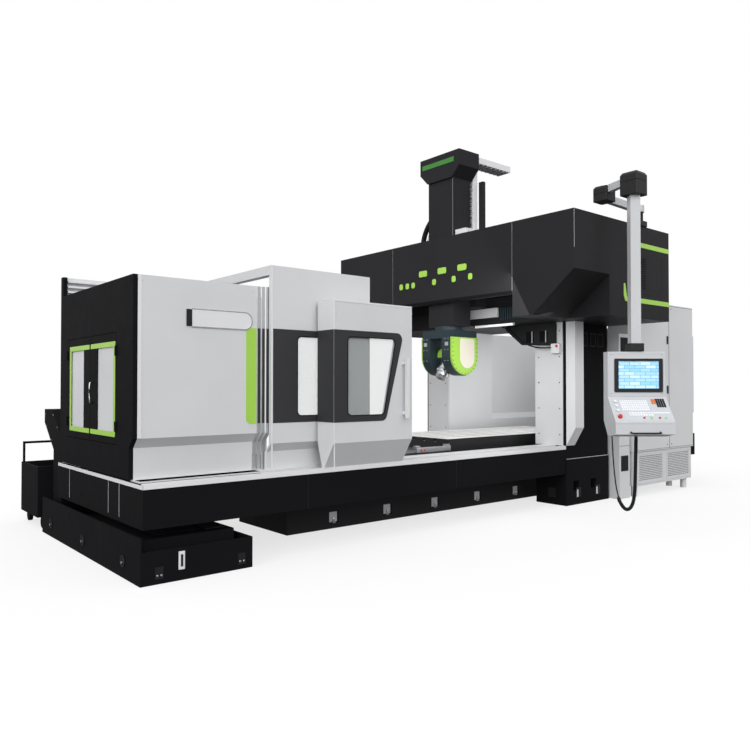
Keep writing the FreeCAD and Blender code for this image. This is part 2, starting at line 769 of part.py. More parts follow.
finished(fuse("sliding_hood", [cut("hood_leaf_cut", leaf_near, hood_hole), leaf_far, bar]), "sliding_hood")
hood_pane_front = -hood_near + shell_wall / 3
hood_pane = block(
    "hood_pane",
    (-hood_window_left + seat_gap, hood_pane_front, window_low + seat_gap),
    (-hood_window_right - seat_gap, hood_pane_front + pane_thick, window_high - seat_gap),
)
finished(hood_pane, "hood_pane")

# Front sliding door: box section with a slanted foot on the near rail and a slanted window
door_plane = size("door_plane", 1480, "front door's plane from the middle plane")
door_left = size("door_left", 3111, "front door's left edge from the head")
door_right = size("door_right", 2090, "front door's right edge from the head")
door_high = size("door_high", 2440, "front door height")
door_slope = size("door_slope", 1050, "top of the door's slanted foot")
door_foot = size("door_foot", 40, "width of the door's foot on its rail")
door_clear = size("door_clear", 42, "gap between the front door and the hood")
door_window_left = size("door_window_left", 2950, "door window's left edge from the head")
door_window_top = size("door_window_top", 2310, "door window's upper right corner from the head")
door_window_foot = size("door_window_foot", 2470, "door window's lower right corner from the head")
foot_out = near_rail + door_foot / 2
door_back = hood_near + door_clear
door_inner = door_plane - shell_wall
front_sheet = profile(
    "door_sheet",
    "x",
    [
        (-door_plane, door_high),
        (-door_plane, door_slope),
        (-foot_out, panel_foot),
        (-foot_out + door_foot, panel_foot),
        (-door_inner, door_slope + shell_wall / 2),
        (-door_inner, door_high - shell_wall),
        (-door_back, door_high - shell_wall),
        (-door_back, door_high),
    ],
    -door_left,
    -door_right,
)
return_sheet = profile(
    "door_return",
    "x",
    [
        (-door_plane, door_high),
        (-door_plane, door_slope),
        (-foot_out, panel_foot),
        (-foot_out + door_foot, panel_foot),
        (-door_back, door_slope),
        (-door_back, door_high),
    ],
    -door_left,
    -door_left + shell_wall,
)


def door_window(name, grow, start, end):
    """The front door's window outline, slanted on its right, made smaller by a gap."""
    return profile(
        name,
        "y",
        [
            (-door_window_left + grow, window_low + grow),
            (-door_window_foot - grow, window_low + grow),
            (-door_window_top - grow, window_high - grow),
            (-door_window_left + grow, window_high - grow),
        ],
        start,
        end,
    )


door_hole = door_window("door_hole", seat_gap * 0, -door_plane - shell_wall, -door_plane + shell_wall * 2)
finished(cut("front_door", fuse("door_solid", [front_sheet, return_sheet]), door_hole), "front_door")
pane_start = -door_plane + shell_wall / 3
finished(door_window("door_pane", seat_gap, pane_start, pane_start + pane_thick), "door_pane")
handle_place = size("handle_place", 2226, "door handle from the head")
handle_low = size("handle_low", 1272, "door handle's lower end")
handle_high = size("handle_high", 1895, "door handle's upper end")
handle_wide = size("handle_wide", 34, "door handle width")
handle_proud = size("handle_proud", 62, "door handle stand-off")
handle_back = -door_plane - seat_gap
handle_pieces = [
    block(
        "handle_bar",
        (-handle_place, -door_plane - handle_proud - handle_wide / 2, handle_low),
        (-handle_place + handle_wide, -door_plane - handle_proud + handle_wide / 2, handle_high),
    )
]
for index, low in enumerate((handle_low + handle_wide, handle_high - handle_wide * 2), 1):
    handle_pieces.append(
        block(
            f"handle_leg_{index}",
            (-handle_place, -door_plane - handle_proud, low),
            (-handle_place + handle_wide, handle_back, low + handle_wide),
        )
    )
finished(fuse("door_handle", handle_pieces), "door_handle")

# White jamb on the near column that receives the front door, and guard plates on the columns
jamb_wide = size("jamb_wide", 190, "jamb width along X")
guard_thick = size("guard_thick", 12, "column guard plate thickness")
guard_inner = size("guard_inner", 1290, "outer edge of the guard plates from the middle plane")
jamb = profile(
    "column_jamb",
    "x",
    [
        (-door_plane, beam_low - seat_gap),
        (-door_plane, door_slope),
        (-pan_near - foot_proud - seat_gap, panel_foot),
        (-pan_near - foot_proud - seat_gap, beam_low - seat_gap),
    ],
    column_front,
    column_front + jamb_wide,
)
finished(jamb, "column_jamb")
column_inner = column_outer - column_thick
guard_low = rail_top + seat_gap
guard_high = beam_low - seat_gap
guard_front = column_front - seat_gap - guard_thick
guards = [
    block("guard_near", (guard_front, -guard_inner, guard_low), (guard_front + guard_thick, -column_inner, guard_high)),
    block("guard_far", (guard_front, column_inner, guard_low), (guard_front + guard_thick, guard_inner, guard_high)),
]
for side_name, side in (("near", -1), ("far", 1)):
    face = (column_inner - seat_gap) * side
    back = (column_inner - seat_gap - guard_thick) * side
    low_y, high_y = (face, back) if side < 0 else (back, face)
    guards.append(
        block(f"guard_inside_{side_name}", (column_front, low_y, guard_low), (column_back, high_y, guard_high))
    )
finished(gather("column_guards", guards), "column_guards")

# Right housing behind the columns: two sides and a closed end
right_start = column_back + seat_gap
right_end = pan_right - shell_wall
right_foot = pan_high + seat_gap
right_top = beam_low - seat_gap
right_sides = [
    side_panel(
        "right_side_near", shell_near, -1, right_foot, right_top, right_start, right_end, shell_wall, ledge_high, ledge_drop
    ),
    side_panel(
        "right_side_far", shell_far, 1, right_foot, right_top, right_start, right_end, shell_wall, ledge_high, ledge_drop
    ),
]
right_sheet = profile(
    "right_end_sheet",
    "x",
    [
        (-shell_near, right_top),
        (-shell_near, ledge_high),
        (-shell_near + ledge_drop, ledge_high - ledge_drop),
        (-shell_near + ledge_drop, right_foot),
        (shell_far - ledge_drop, right_foot),
        (shell_far - ledge_drop, ledge_high - ledge_drop),
        (shell_far, ledge_high),
        (shell_far, right_top),
    ],
    right_end,
    pan_right,
)
right_shelf_near = block(
    "right_shelf_near", (right_start, -pan_near_right + pan_wall, shelf_low), (right_end, -near_shelf_in, pan_high)
)
right_shelf_far = block(
    "right_shelf_far", (right_start, far_shelf_in, shelf_low), (right_end, pan_far - pan_wall, pan_high)
)
finished(gather("right_shelves", [right_shelf_near, right_shelf_far]), "right_shelves")
finished(fuse("right_housing", right_sides + [right_sheet]), "right_housing")

# Telescopic covers over the bed: a fixed box at each end, two that follow, one on the table
cover_length = size("cover_length", 1300, "length of one telescopic cover")
cover_start = size("cover_start", 3250, "inner end of the fixed covers from the head")
cover_half = size("cover_half", 540, "half width of the smallest cover")
cover_top = size("cover_top", 762, "top of the lowest cover")
cover_step_wide = size("cover_step_wide", 14, "width step between covers")
cover_plate = size("cover_plate", 6, "cover plate thickness with its wipers")
cover_step_high = cover_plate + seat_gap
cover_skirt = size("cover_skirt", 640, "lower edge of the moving covers")
cover_moves = 3
pan_floor_top = pan_low + pan_floor + seat_gap


def way_cover(name, step, start, foot):
    """One telescopic cover, open below and at its ends."""
    half = cover_half + cover_step_wide * step
    top = cover_top + cover_step_high * step
    corners = [
        (-half, foot),
        (-half, top),
        (half, top),
        (half, foot),
        (half - cover_plate, foot),
        (half - cover_plate, top - cover_plate),
        (-half + cover_plate, top - cover_plate),
        (-half + cover_plate, foot),
    ]
    return profile(name, "x", corners, start, start + cover_length)


fixed_covers = [
    way_cover("way_cover_left_fixed", 0, -cover_start - cover_length, pan_floor_top),
    way_cover("way_cover_right_fixed", 0, cover_start, pan_floor_top),
]
finished(gather("way_covers_fixed", fixed_covers), "way_covers_fixed")
left_run = table_left - seat_gap + cover_start
right_run = table_right + seat_gap - cover_start
for step in range(1, cover_moves):
    left_edge = left_run * step / cover_moves - cover_start
    finished(way_cover(f"way_cover_left_{step}", step, left_edge - cover_length, cover_skirt), f"way_cover_left_{step}")
    right_edge = right_run * step / cover_moves + cover_start
    finished(way_cover(f"way_cover_right_{step}", step, right_edge, cover_skirt), f"way_cover_right_{step}")
table_covers = [
    way_cover("way_cover_left_table", cover_moves, table_left - seat_gap - cover_length, cover_skirt),
    way_cover("way_cover_right_table", cover_moves, table_right + seat_gap, cover_skirt),
]
finished(gather("way_covers_table", table_covers), "way_covers_table")

# Electrical cabinet on its ventilated base with feet
cabinet_left = size("cabinet_left", 2215, "cabinet's left side from the head")
cabinet_right = size("cabinet_right", 3900, "cabinet's right side from the head")
cabinet_front = size("cabinet_front", 1567, "cabinet's front from the middle plane")
cabinet_deep = size("cabinet_deep", 455, "cabinet depth")
cabinet_low = size("cabinet_low", 655, "cabinet underside")
cabinet_high = size("cabinet_high", 2840, "cabinet height")
base_low = size("base_low", 155, "cabinet base underside")
base_inset = size("base_inset", 25, "cabinet base inset")
foot_radius = size("foot_radius", 45, "cabinet foot radius")
foot_inset = size("foot_inset", 110, "cabinet foot from the base's corner")
cabinet_back = -cabinet_front + cabinet_deep
cabinet = block("cabinet", (cabinet_left, -cabinet_front, cabinet_low), (cabinet_right, cabinet_back, cabinet_high))
finished(cabinet, "cabinet")
base_pieces = [
    block(
        "cabinet_base_box",
        (cabinet_left + base_inset, -cabinet_front + base_inset, base_low),
        (cabinet_right - base_inset, cabinet_back - base_inset, cabinet_low - seat_gap),
    )
]
for along_name, place in (("left", cabinet_left + foot_inset), ("right", cabinet_right - foot_inset)):
    for depth_name, depth in (("front", -cabinet_front + foot_inset), ("back", cabinet_back - foot_inset)):
        base_pieces.append(rod(f"cabinet_foot_{along_name}_{depth_name}", (place, depth, 0), base_low, foot_radius))
finished(fuse("cabinet_base", base_pieces), "cabinet_base")

# Oil chiller that stands between the column and the cabinet
chiller_left = size("chiller_left", 1905, "chiller's left side from the head")
chiller_wide = size("chiller_wide", 270, "chiller width")
chiller_front = size("chiller_front", 1480, "chiller's front from the middle plane")
chiller_deep = size("chiller_deep", 365, "chiller depth")
chiller_high = size("chiller_high", 2350, "chiller height")
chiller = block(
    "oil_chiller",
    (chiller_left, -chiller_front, 0),
    (chiller_left + chiller_wide, -chiller_front + chiller_deep, chiller_high),
)
finished(chiller, "oil_chiller")

# Coolant tank under the left end, an open box with a lower front wall
tank_left = size("tank_left", 4978, "tank's left side from the head")
tank_right = size("tank_right", 3963, "tank's right side from the head")
tank_near = size("tank_near", 1426, "tank's near side from the middle plane")
tank_far = size("tank_far", 1385, "tank's far side from the middle plane")
tank_high = size("tank_high", 385, "tank's end wall height")
tank_front_high = size("tank_front_high", 270, "tank's front wall height")
tank_wall = size("tank_wall", 16, "tank wall with its folded rim")
tank_block = profile(
    "tank_block",
    "y",
    [(-tank_left, 0), (-tank_right, 0), (-tank_right, tank_front_high), (-tank_left, tank_front_high)],
    -tank_near,
    tank_far,
)
tank_hollow = block(
    "tank_hollow",
    (-tank_left + tank_wall, -tank_near + tank_wall, tank_wall),
    (-tank_right - tank_wall, tank_far - tank_wall, tank_high),
)
tank_side = block(
    "tank_side", (-tank_left, -tank_near, tank_front_high), (-tank_left + tank_wall, tank_far, tank_high)
)
finished(fuse("coolant_tank", [cut("tank_tray", tank_block, tank_hollow), tank_side]), "coolant_tank")
lid_low = tank_wall + seat_gap
lid_near = size("lid_near", 1250, "filter box's near end from the middle plane")
lid_long = size("lid_long", 1500, "filter box length")
lid_high = size("lid_high", 330, "filter box height")
lid_margin = size("lid_margin", 90, "filter box from the tank's walls")
filter_box = block(
    "filter_box",
    (-tank_left + lid_margin, -lid_near, lid_low),
    (-tank_right - lid_margin, -lid_near + lid_long, lid_high),
)
finished(filter_box, "filter_box")

# Chip conveyor: trough in the tank, a rising trunk and its discharge head
conveyor_left = size("conveyor_left", 4880, "conveyor's left side from the head")
conveyor_wide = size("conveyor_wide", 430, "conveyor width")
conveyor_foot = size("conveyor_foot", 1040, "conveyor trunk's near side from the middle plane")
conveyor_trunk = size("conveyor_trunk", 300, "conveyor trunk thickness")
conveyor_bend = size("conveyor_bend", 900, "height where the conveyor leans out")
conveyor_reach = size("conveyor_reach", 1700, "conveyor's mouth from the middle plane")
conveyor_high = size("conveyor_high", 1340, "conveyor's top")
mouth_high = size("mouth_high", 150, "conveyor's mouth height")
conveyor = profile(
    "chip_conveyor",
    "x",
    [
        (conveyor_foot, lid_low),
        (conveyor_foot + conveyor_trunk, lid_low),
        (conveyor_foot + conveyor_trunk, conveyor_bend),
        (conveyor_reach, conveyor_high - mouth_high),
        (conveyor_reach, conveyor_high),
        (conveyor_reach - conveyor_trunk, conveyor_high),
        (conveyor_foot, conveyor_bend + conveyor_trunk / 2),
    ],
    -conveyor_left,
    -conveyor_left + conveyor_wide,
)
finished(conveyor, "chip_conveyor")
cart_near = size("cart_near", 1540, "chip cart's near side from the middle plane")
cart_long = size("cart_long", 720, "chip cart length")
cart_wide = size("cart_wide", 560, "chip cart width")
cart_left = size("cart_left", 4990, "chip cart's left side from the head")
cart_low = size("cart_low", 130, "chip cart's floor")
cart_high = size("cart_high", 700, "chip cart height")
cart_wall = size("cart_wall", 12, "chip cart wall with its rim")
wheel_radius = size("wheel_radius", 65, "chip cart wheel radius")
wheel_wide = size("wheel_wide", 40, "chip cart wheel width")
handle_tube = size("handle_tube", 14, "chip cart handle radius")
handle_rise = size("handle_rise", 240, "chip cart handle above the rim")
cart_right_edge = -cart_left + cart_wide
cart_far_edge = cart_near + cart_long
cart_solid = block("cart_solid", (-cart_left, cart_near, cart_low), (cart_right_edge, cart_far_edge, cart_high))
cart_hollow = block(
    "cart_hollow",
    (-cart_left + cart_wall, cart_near + cart_wall, cart_low + cart_wall),
    (cart_right_edge - cart_wall, cart_far_edge - cart_wall, cart_high + cart_wall),
)
cart_pieces = [cut("cart_bin", cart_solid, cart_hollow)]
for index, place in enumerate((-cart_left + wheel_radius, cart_right_edge - wheel_radius - wheel_wide), 1):
    for row, depth in enumerate((cart_near + wheel_radius, cart_far_edge - wheel_radius), 1):
        cart_pieces.append(rod(f"cart_wheel_{index}_{row}", (place, depth, wheel_radius), wheel_wide, wheel_radius, X_AXIS))
        cart_pieces.append(
            block(
                f"cart_fork_{index}_{row}",
                (place, depth - wheel_radius / 2, wheel_radius),
                (place + wheel_wide, depth + wheel_radius / 2, cart_low),
            )
        )
for index, place in enumerate((-cart_left + handle_tube * 2, cart_right_edge - handle_tube * 2), 1):
    cart_pieces.append(rod(f"cart_stay_{index}", (place, cart_far_edge, cart_high - handle_rise), handle_rise * 2, handle_tube))
cart_pieces.append(
    rod(
        "cart_grip",
        (-cart_left + handle_tube * 2, cart_far_edge, cart_high + handle_rise - handle_tube),
        cart_wide - handle_tube * 4,
        handle_tube,
        X_AXIS,
    )
)
finished(fuse("chip_cart", cart_pieces), "chip_cart")

# Pendant arm: post on the beam's near end, two swinging links and the drop tube with the pendant
post_place = size("post_place", 1268, "arm post from the head along X")
post_depth = size("post_depth", 2150, "arm post from the middle plane")
post_radius = size("post_radius", 60, "arm post radius")
post_high = size("post_high", 190, "arm post height")
plate_side = size("plate_side", 90, "post base plate half side")
plate_thick = size("plate_thick", 16, "post base plate thickness")
link_high = size("link_high", 85, "arm link height")
link_wide = size("link_wide", 70, "arm link width")
link_gap = size("link_gap", 0.3, "gap between the arm's joints")
elbow_place = size("elbow_place", 440, "elbow from the head along X")
elbow_radius = size("elbow_radius", 75, "elbow radius")
hanger_place = size("hanger_place", 240, "drop tube from the head along X")
hanger_depth = size("hanger_depth", 2680, "drop tube from the middle plane")
elbow_depth = size("elbow_depth", 2180, "elbow from the middle plane")
tube_side = size("tube_side", 112, "drop tube width")
tube_low = size("tube_low", 2060, "drop tube's lower end")
corner_side = size("corner_side", 150, "drop tube's corner casting width")
post_base = block(
    "post_base",
    (post_place - plate_side, -post_depth - plate_side / 2, beam_high),
    (post_place + plate_side, -post_depth + plate_side, beam_high + plate_thick),
)
post_tube = rod("post_tube", (post_place, -post_depth, beam_high), post_high, post_radius)
finished(fuse("arm_post", [post_base, post_tube]), "arm_post")
link_low = beam_high + post_high + link_gap


def straight_link(name, start, end, low):
    """A box tube between two points at one height, with a round boss at each end."""
    ax, ay = (number(start[0]), number(start[1]))
    bx, by = (number(end[0]), number(end[1]))
    run = FreeCAD.Vector(bx - ax, by - ay, 0)
    shape = Part.makeBox(run.Length, link_wide.value, link_high.value)
    shape.translate(FreeCAD.Vector(0, -link_wide.value / 2, 0))
    shape.Placement = FreeCAD.Placement(FreeCAD.Vector(), FreeCAD.Rotation(X_AXIS, run)).multiply(shape.Placement)
    shape.translate(FreeCAD.Vector(ax, ay, 0))
    for px, py in ((ax, ay), (bx, by)):
        shape = shape.fuse(Part.makeCylinder(elbow_radius.value, link_high.value, FreeCAD.Vector(px, py, 0)))
    item = add("Part::Feature", name)
    item.Shape = shape.removeSplitter()
    bind(item, "Placement.Base.z", low)
    return item


post_point = (post_place, -post_depth)
elbow_point = (elbow_place, -elbow_depth)
hanger_point = (hanger_place, -hanger_depth)
finished(straight_link("arm_link_inner", post_point, elbow_point, link_low), "arm_link_inner")
outer_low = link_low + link_high + link_gap
finished(straight_link("arm_link_outer", elbow_point, hanger_point, outer_low), "arm_link_outer")
lamp_radius = size("lamp_radius", 26, "signal lamp radius")
lamp_high = size("lamp_high", 330, "signal lamp height")
lamp = rod("signal_lamp", (elbow_place, -elbow_depth, outer_low + link_high + seat_gap), lamp_high, lamp_radius)
finished(lamp, "signal_lamp")

# The pendant is drawn facing the front and turned with its tube in the stored pose
pendant_turn = size("pendant_turn", -40, "stored turn of the pendant in degrees")
pendant_half = size("pendant_half", 325, "pendant half width")
pendant_back = size("pendant_back", 85, "pendant's back behind the tube's middle")
screen_front = size("screen_front", 60, "screen housing's front before the tube's middle")
screen_low = size("screen_low", 1480, "screen housing's foot")
screen_high = size("screen_high", 1990, "screen housing's top")
desk_reach = size("desk_reach", 320, "keyboard desk's front before the tube's middle")
desk_front_high = size("desk_front_high", 1215, "keyboard desk's front edge")
desk_front_low = size("desk_front_low", 1075, "keyboard desk's front foot")
desk_back_low = size("desk_back_low", 1035, "keyboard desk's back foot")
tube = block("drop_tube_bar", (-tube_side / 2, -tube_side / 2, tube_low), (tube_side / 2, tube_side / 2, outer_low - link_gap))
corner = block(
    "drop_tube_corner",
    (-corner_side / 2, -corner_side / 2, outer_low - link_gap - corner_side),
    (corner_side / 2, corner_side / 2, outer_low - link_gap),
)
neck = rod("drop_tube_neck", (0, 0, screen_high + seat_gap), tube_low - screen_high - seat_gap, tube_side / 2)
drop_tube = gather("drop_tube", [fuse("drop_tube_solid", [tube, corner, neck])])
case = profile(
    "pendant_case",
    "x",
    [
        (pendant_back, screen_high),
        (-screen_front, screen_high),
        (-screen_front, screen_low),
        (-desk_reach, desk_front_high),
        (-desk_reach, desk_front_low),
        (-screen_front, desk_back_low),
        (pendant_back, desk_front_high),
    ],
    -pendant_half,
    pendant_half,
)
pendant = gather("pendant", [case])

# The handwheel cable under the pendant: a limp straight stretch and a coiled stretch
cord_radius = size("cord_radius", 7, "handwheel cable radius")
coil_radius = size("coil_radius", 19, "radius of the cable's coiled stretch")
CORD_ROUTE = [(-300, -120, 1040), (-293, -116, 930), (-285, -112, 780), (-268, -108, 600), (-246, -104, 440), (-214.5, -100, 322)]
COIL_ROUTE = [(-214, -100, 320), (-172, -98, 238), (-112, -98, 215), (-62, -98, 280), (-40, -98, 420), (-34, -99, 620), (-30, -101, 820), (-26, -104, 1038)]


def tube_along(name, route, radius):
    """A tube along straight runs joined by tangent arcs, each as large as its two runs allow."""
    points = [FreeCAD.Vector(*place) for place in route]
    edges = []
    here = points[0]
    for before, corner_point, after in zip(points, points[1:], points[2:]):
        back = (before - corner_point).normalize()
        ahead = (after - corner_point).normalize()
        run = 0.45 * min((before - corner_point).Length, (after - corner_point).Length)
        enter = corner_point + back * run
        leave = corner_point + ahead * run
        inward = (back + ahead).normalize()
        centre_far = run / (back.dot(inward))
        arc_radius = (centre_far ** 2 - run ** 2) ** 0.5
        middle = corner_point + inward * (centre_far - arc_radius)
        print(name, "bend radius", round(arc_radius, 1), "mm")
        edges.append(Part.LineSegment(here, enter).toShape())
        edges.append(Part.Arc(enter, middle, leave).toShape())
        here = leave
    edges.append(Part.LineSegment(here, points[-1]).toShape())
    path = Part.Wire(edges)
    start_run = (points[1] - points[0]).normalize()
    ring = Part.Wire(Part.Circle(points[0], start_run, number(radius)).toShape())
    solid = path.makePipeShell([ring], True, False)
    item = add("Part::Feature", name)
    item.Shape = solid
    return item


cord = gather("handwheel_cord", [tube_along("cord_tube", CORD_ROUTE, cord_radius)])
coil = gather("handwheel_coil", [tube_along("coil_tube", COIL_ROUTE, coil_radius)])
for item in (drop_tube, pendant, cord, coil):
    item.Placement = FreeCAD.Placement(
        FreeCAD.Vector(hanger_place.value, -hanger_depth.value, 0), FreeCAD.Rotation(Z_AXIS, pendant_turn.value)
    )
    finished(item, item.Name)

doc.recompute()
for item in doc.Objects:
    if "Invalid" in item.State or "Error" in item.State:
        raise RuntimeError(f"{item.Label} did not build: {item.State}")
os.makedirs("parts", exist_ok=True)
for item in subparts:
    shape = item.Shape
    if shape.isNull() or not shape.isValid() or not shape.Solids:
        raise RuntimeError(f"{item.Label} has no valid solid")
    shape.exportStep(os.path.join("parts", item.Label + ".step"))
print(len(subparts), "sub-parts written")
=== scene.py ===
"""Looks of the double column machining centre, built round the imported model.

Lengths are in metres in the model's own frame: +X along the table, +Y away from the operator, +Z up.
"""

import math

import bpy
import numpy as np
from mathutils import Matrix, Vector


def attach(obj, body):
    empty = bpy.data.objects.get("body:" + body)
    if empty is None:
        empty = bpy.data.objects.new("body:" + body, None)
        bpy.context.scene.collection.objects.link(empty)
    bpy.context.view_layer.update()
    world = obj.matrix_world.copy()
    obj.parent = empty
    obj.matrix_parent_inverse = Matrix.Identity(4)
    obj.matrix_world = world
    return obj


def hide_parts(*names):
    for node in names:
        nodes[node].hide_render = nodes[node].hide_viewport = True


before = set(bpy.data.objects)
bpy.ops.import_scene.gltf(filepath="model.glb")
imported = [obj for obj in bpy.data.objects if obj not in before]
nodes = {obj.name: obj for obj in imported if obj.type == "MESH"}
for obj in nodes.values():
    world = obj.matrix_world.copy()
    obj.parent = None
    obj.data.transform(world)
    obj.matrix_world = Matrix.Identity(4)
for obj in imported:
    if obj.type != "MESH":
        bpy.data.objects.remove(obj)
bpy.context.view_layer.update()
MM = 0.001
# Gap between a face of the model and a piece that is drawn on it
LIFT = 0.0002
# Y of the hood's and the front door's near faces
HOOD_FACE = -1.17
DOOR_FACE = -1.48
# Height of the axis that the head tilts about
TILT_HIGH = 2.016
# Low and high edges of the windows' dark bands, of the windows, and of the pan's white capping
BAND_LOW, BAND_HIGH = 1.25, 2.15
PANE_LOW, PANE_HIGH = 1.306, 2.093
CAP_LOW, CAP_HIGH = 0.756, 0.7895


def linear(hex_colour):
    """An sRGB hex colour as linear RGBA: each channel is raised by the sRGB curve."""
    raw = np.array([int(hex_colour[i : i + 2], 16) for i in (1, 3, 5)]) / 255
    curve = np.where(raw <= 0.04045, raw / 12.92, ((raw + 0.055) / 1.055) ** 2.4)
    return (*curve, 1.0)


def node_in(tree, kind, inputs=(), out=0, **settings):
    """Adds a shader node, sets its properties, fills or links its inputs, and gives back one output."""
    made = tree.nodes.new("ShaderNode" + kind)
    for key, value in settings.items():
        setattr(made, key, value)
    for key, value in dict(inputs).items():
        if isinstance(value, bpy.types.NodeSocket):
            tree.links.new(value, made.inputs[key])
        else:
            made.inputs[key].default_value = value
    return made.outputs[out] if len(made.outputs) else None


def surface(name, roughness, metallic=0.0, **more):
    """An empty material with one shader and its object coordinates."""
    material = bpy.data.materials.new(name)
    material.use_nodes = True
    tree = material.node_tree
    tree.nodes.clear()
    shader = node_in(tree, "BsdfPrincipled", {"Roughness": roughness, "Metallic": metallic}).node
    for key, value in more.items():
        shader.inputs[key.replace("_", " ")].default_value = value
    place = node_in(tree, "TexCoord", out="Object")
    node_in(tree, "OutputMaterial", {"Surface": shader.outputs[0]})
    return material, tree, shader, place


def two_tone(tree, factor, dark, light, start=0.0, stop=1.0):
    """A ramp between two colours over a factor: the socket of its colour."""
    ramp = node_in(tree, "ValToRGB", {"Fac": factor})
    for element, place, colour in zip(ramp.node.color_ramp.elements, (start, stop), (dark, light)):
        element.position = place
        element.color = colour
    return ramp


def shaded(base, factor):
    """A linear colour made darker or lighter by a factor, kept at or under white."""
    return (*np.minimum(np.array(base[:3]) * factor, 1), 1)


def uneven_gloss(tree, shader, factor, low, high):
    """Lets the roughness wander between two values with a factor."""
    gloss = node_in(tree, "MapRange", {"Value": factor, "To Min": low, "To Max": high})
    tree.links.new(gloss, shader.inputs["Roughness"])


def bumped(tree, shader, factor, strength, distance):
    """Raises the surface by a factor, as a bump."""
    bump = node_in(tree, "Bump", {"Height": factor, "Strength": strength, "Distance": distance})
    tree.links.new(bump, shader.inputs["Normal"])


def painted(name, colour, roughness, grain_mm, grain_deep, spread=0.06, coat=0.0, shine=0.5):
    """Paint over steel: cloudy tone, a fine orange-peel bump and slightly uneven gloss."""
    finish = {"Coat_Weight": coat, "Coat_Roughness": 0.25, "Specular_IOR_Level": shine}
    material, tree, shader, place = surface(name, roughness, **finish)
    cloud = node_in(tree, "TexNoise", {"Vector": place, "Scale": 1.3, "Detail": 3.0})
    base = linear(colour)
    tone = two_tone(tree, cloud, shaded(base, 1 - spread), shaded(base, 1 + spread), 0.3, 0.7)
    tree.links.new(tone, shader.inputs["Base Color"])
    dust = node_in(tree, "TexNoise", {"Vector": place, "Scale": 6.0, "Detail": 5.0})
    uneven_gloss(tree, shader, dust, roughness - 0.06, roughness + 0.08)
    peel = node_in(tree, "TexNoise", {"Vector": place, "Scale": 1 / (grain_mm * MM), "Detail": 2.0})
    bumped(tree, shader, peel, grain_deep, 0.0006)
    return material


def worked_metal(name, colour, roughness, line_mm, stretch, deep=0.25):
    """Bare metal with fine tool lines: noise squeezed across the stroke and drawn out along it."""
    material, tree, shader, place = surface(name, roughness, metallic=1.0)
    squeeze = node_in(tree, "Mapping", {"Vector": place, "Scale": stretch})
    stroke = {"Vector": squeeze, "Scale": 1 / (line_mm * MM), "Detail": 3.0}
    lines = node_in(tree, "TexNoise", stroke)
    base = linear(colour)
    tone = two_tone(tree, lines, shaded(base, 0.82), shaded(base, 1.12), 0.25, 0.75)
    tree.links.new(tone, shader.inputs["Base Color"])
    uneven_gloss(tree, shader, lines, roughness - 0.08, roughness + 0.12)
    bumped(tree, shader, lines, deep, 0.0003)
    return material


# Powder coat on steel sheet: matt, finely pebbled, so light spreads softly over it
black_powder = painted("black_powder_coat", "#161618", 0.55, 2.5, 0.35, shine=0.03)
charcoal_enamel = painted("charcoal_enamel", "#29292b", 0.45, 4.0, 0.2, shine=0.06)
band_enamel = painted("dark_band_enamel", "#343436", 0.42, 4.0, 0.15, shine=0.2)
white_powder = painted("white_powder_coat", "#cdced0", 0.42, 3.0, 0.2, spread=0.03, coat=0.1)
shade_powder = painted("grey_powder_coat", "#c2c3c5", 0.45, 3.0, 0.2, spread=0.03)
arm_enamel = painted("silver_grey_arm_enamel", "#b9babd", 0.4, 4.0, 0.15, spread=0.03, coat=0.1)
edge_white = painted("white_edge_trim", "#dcdcde", 0.32, 5.0, 0.1, spread=0.02, coat=0.3)
leaf_green = painted("leaf_green_enamel", "#9fce4c", 0.36, 4.0, 0.15, spread=0.04, coat=0.25)
deep_green = painted("deep_green_enamel", "#2f7d1e", 0.4, 4.0, 0.15, spread=0.05, coat=0.2)
teal_enamel = painted("slate_casting_enamel", "#26343a", 0.4, 6.0, 0.35, shine=0.3)
cream_panel = painted("cream_moulded_panel", "#e3dccb", 0.45, 3.0, 0.15, spread=0.02)
pendant_paint = painted("light_grey_casting_enamel", "#bcbec2", 0.4, 4.0, 0.2, spread=0.03, coat=0.15)
desk_film = painted("keyboard_film", "#b9bdc2", 0.5, 2.0, 0.2, spread=0.02)
rubber_sheath = painted("rubber_cable_sheath", "#141416", 0.6, 3.0, 0.4, shine=0.2)
red_plastic = painted("red_moulded_plastic", "#c22a20", 0.35, 4.0, 0.1, coat=0.3)
orange_plastic = painted("orange_moulded_plastic", "#d9762c", 0.4, 4.0, 0.1, coat=0.2)
key_plastic = painted("pale_key_plastic", "#e4e6ea", 0.45, 3.0, 0.15, spread=0.02)
# Matt black without sheen, for the painted shade on the pan under the side panel
painted_shade_black = painted("matt_painted_shade_black", "#101011", 0.95, 5.0, 0.2, shine=0.0)
frosted_pane = painted("frosted_acrylic_pane", "#cccdd0", 0.35, 3.0, 0.1, shine=0.3)
dark_plastic = painted("dark_moulded_plastic", "#1c1c1e", 0.45, 3.0, 0.25, shine=0.25)
# Turned, rolled and extruded metal: directional lines that stretch the highlight
bright_steel = worked_metal("turned_steel", "#c4c6c8", 0.24, 1.5, (1.0, 1.0, 0.15))
cover_steel = worked_metal("stainless_cover_sheet", "#8d9092", 0.38, 2.0, (0.1, 1.0, 1.0))
drawn_alloy = worked_metal("anodised_extrusion", "#d8dadd", 0.34, 1.2, (0.05, 1.0, 1.0), 0.15)
upright_alloy = worked_metal("anodised_upright", "#d3d5d8", 0.34, 1.2, (1.0, 1.0, 0.05), 0.15)


def clear_sheet():
    """Polycarbonate sheet: clear with a faint grey body and a soft reflection."""
    material, tree, shader, place = surface("polycarbonate_sheet", 0.08, IOR=1.49, Alpha=0.28)
    haze = node_in(tree, "TexNoise", {"Vector": place, "Scale": 2.0, "Detail": 2.0})
    tint = two_tone(tree, haze, linear("#d5dadb"), linear("#e4e8e8"))
    tree.links.new(tint, shader.inputs["Base Color"])
    return material


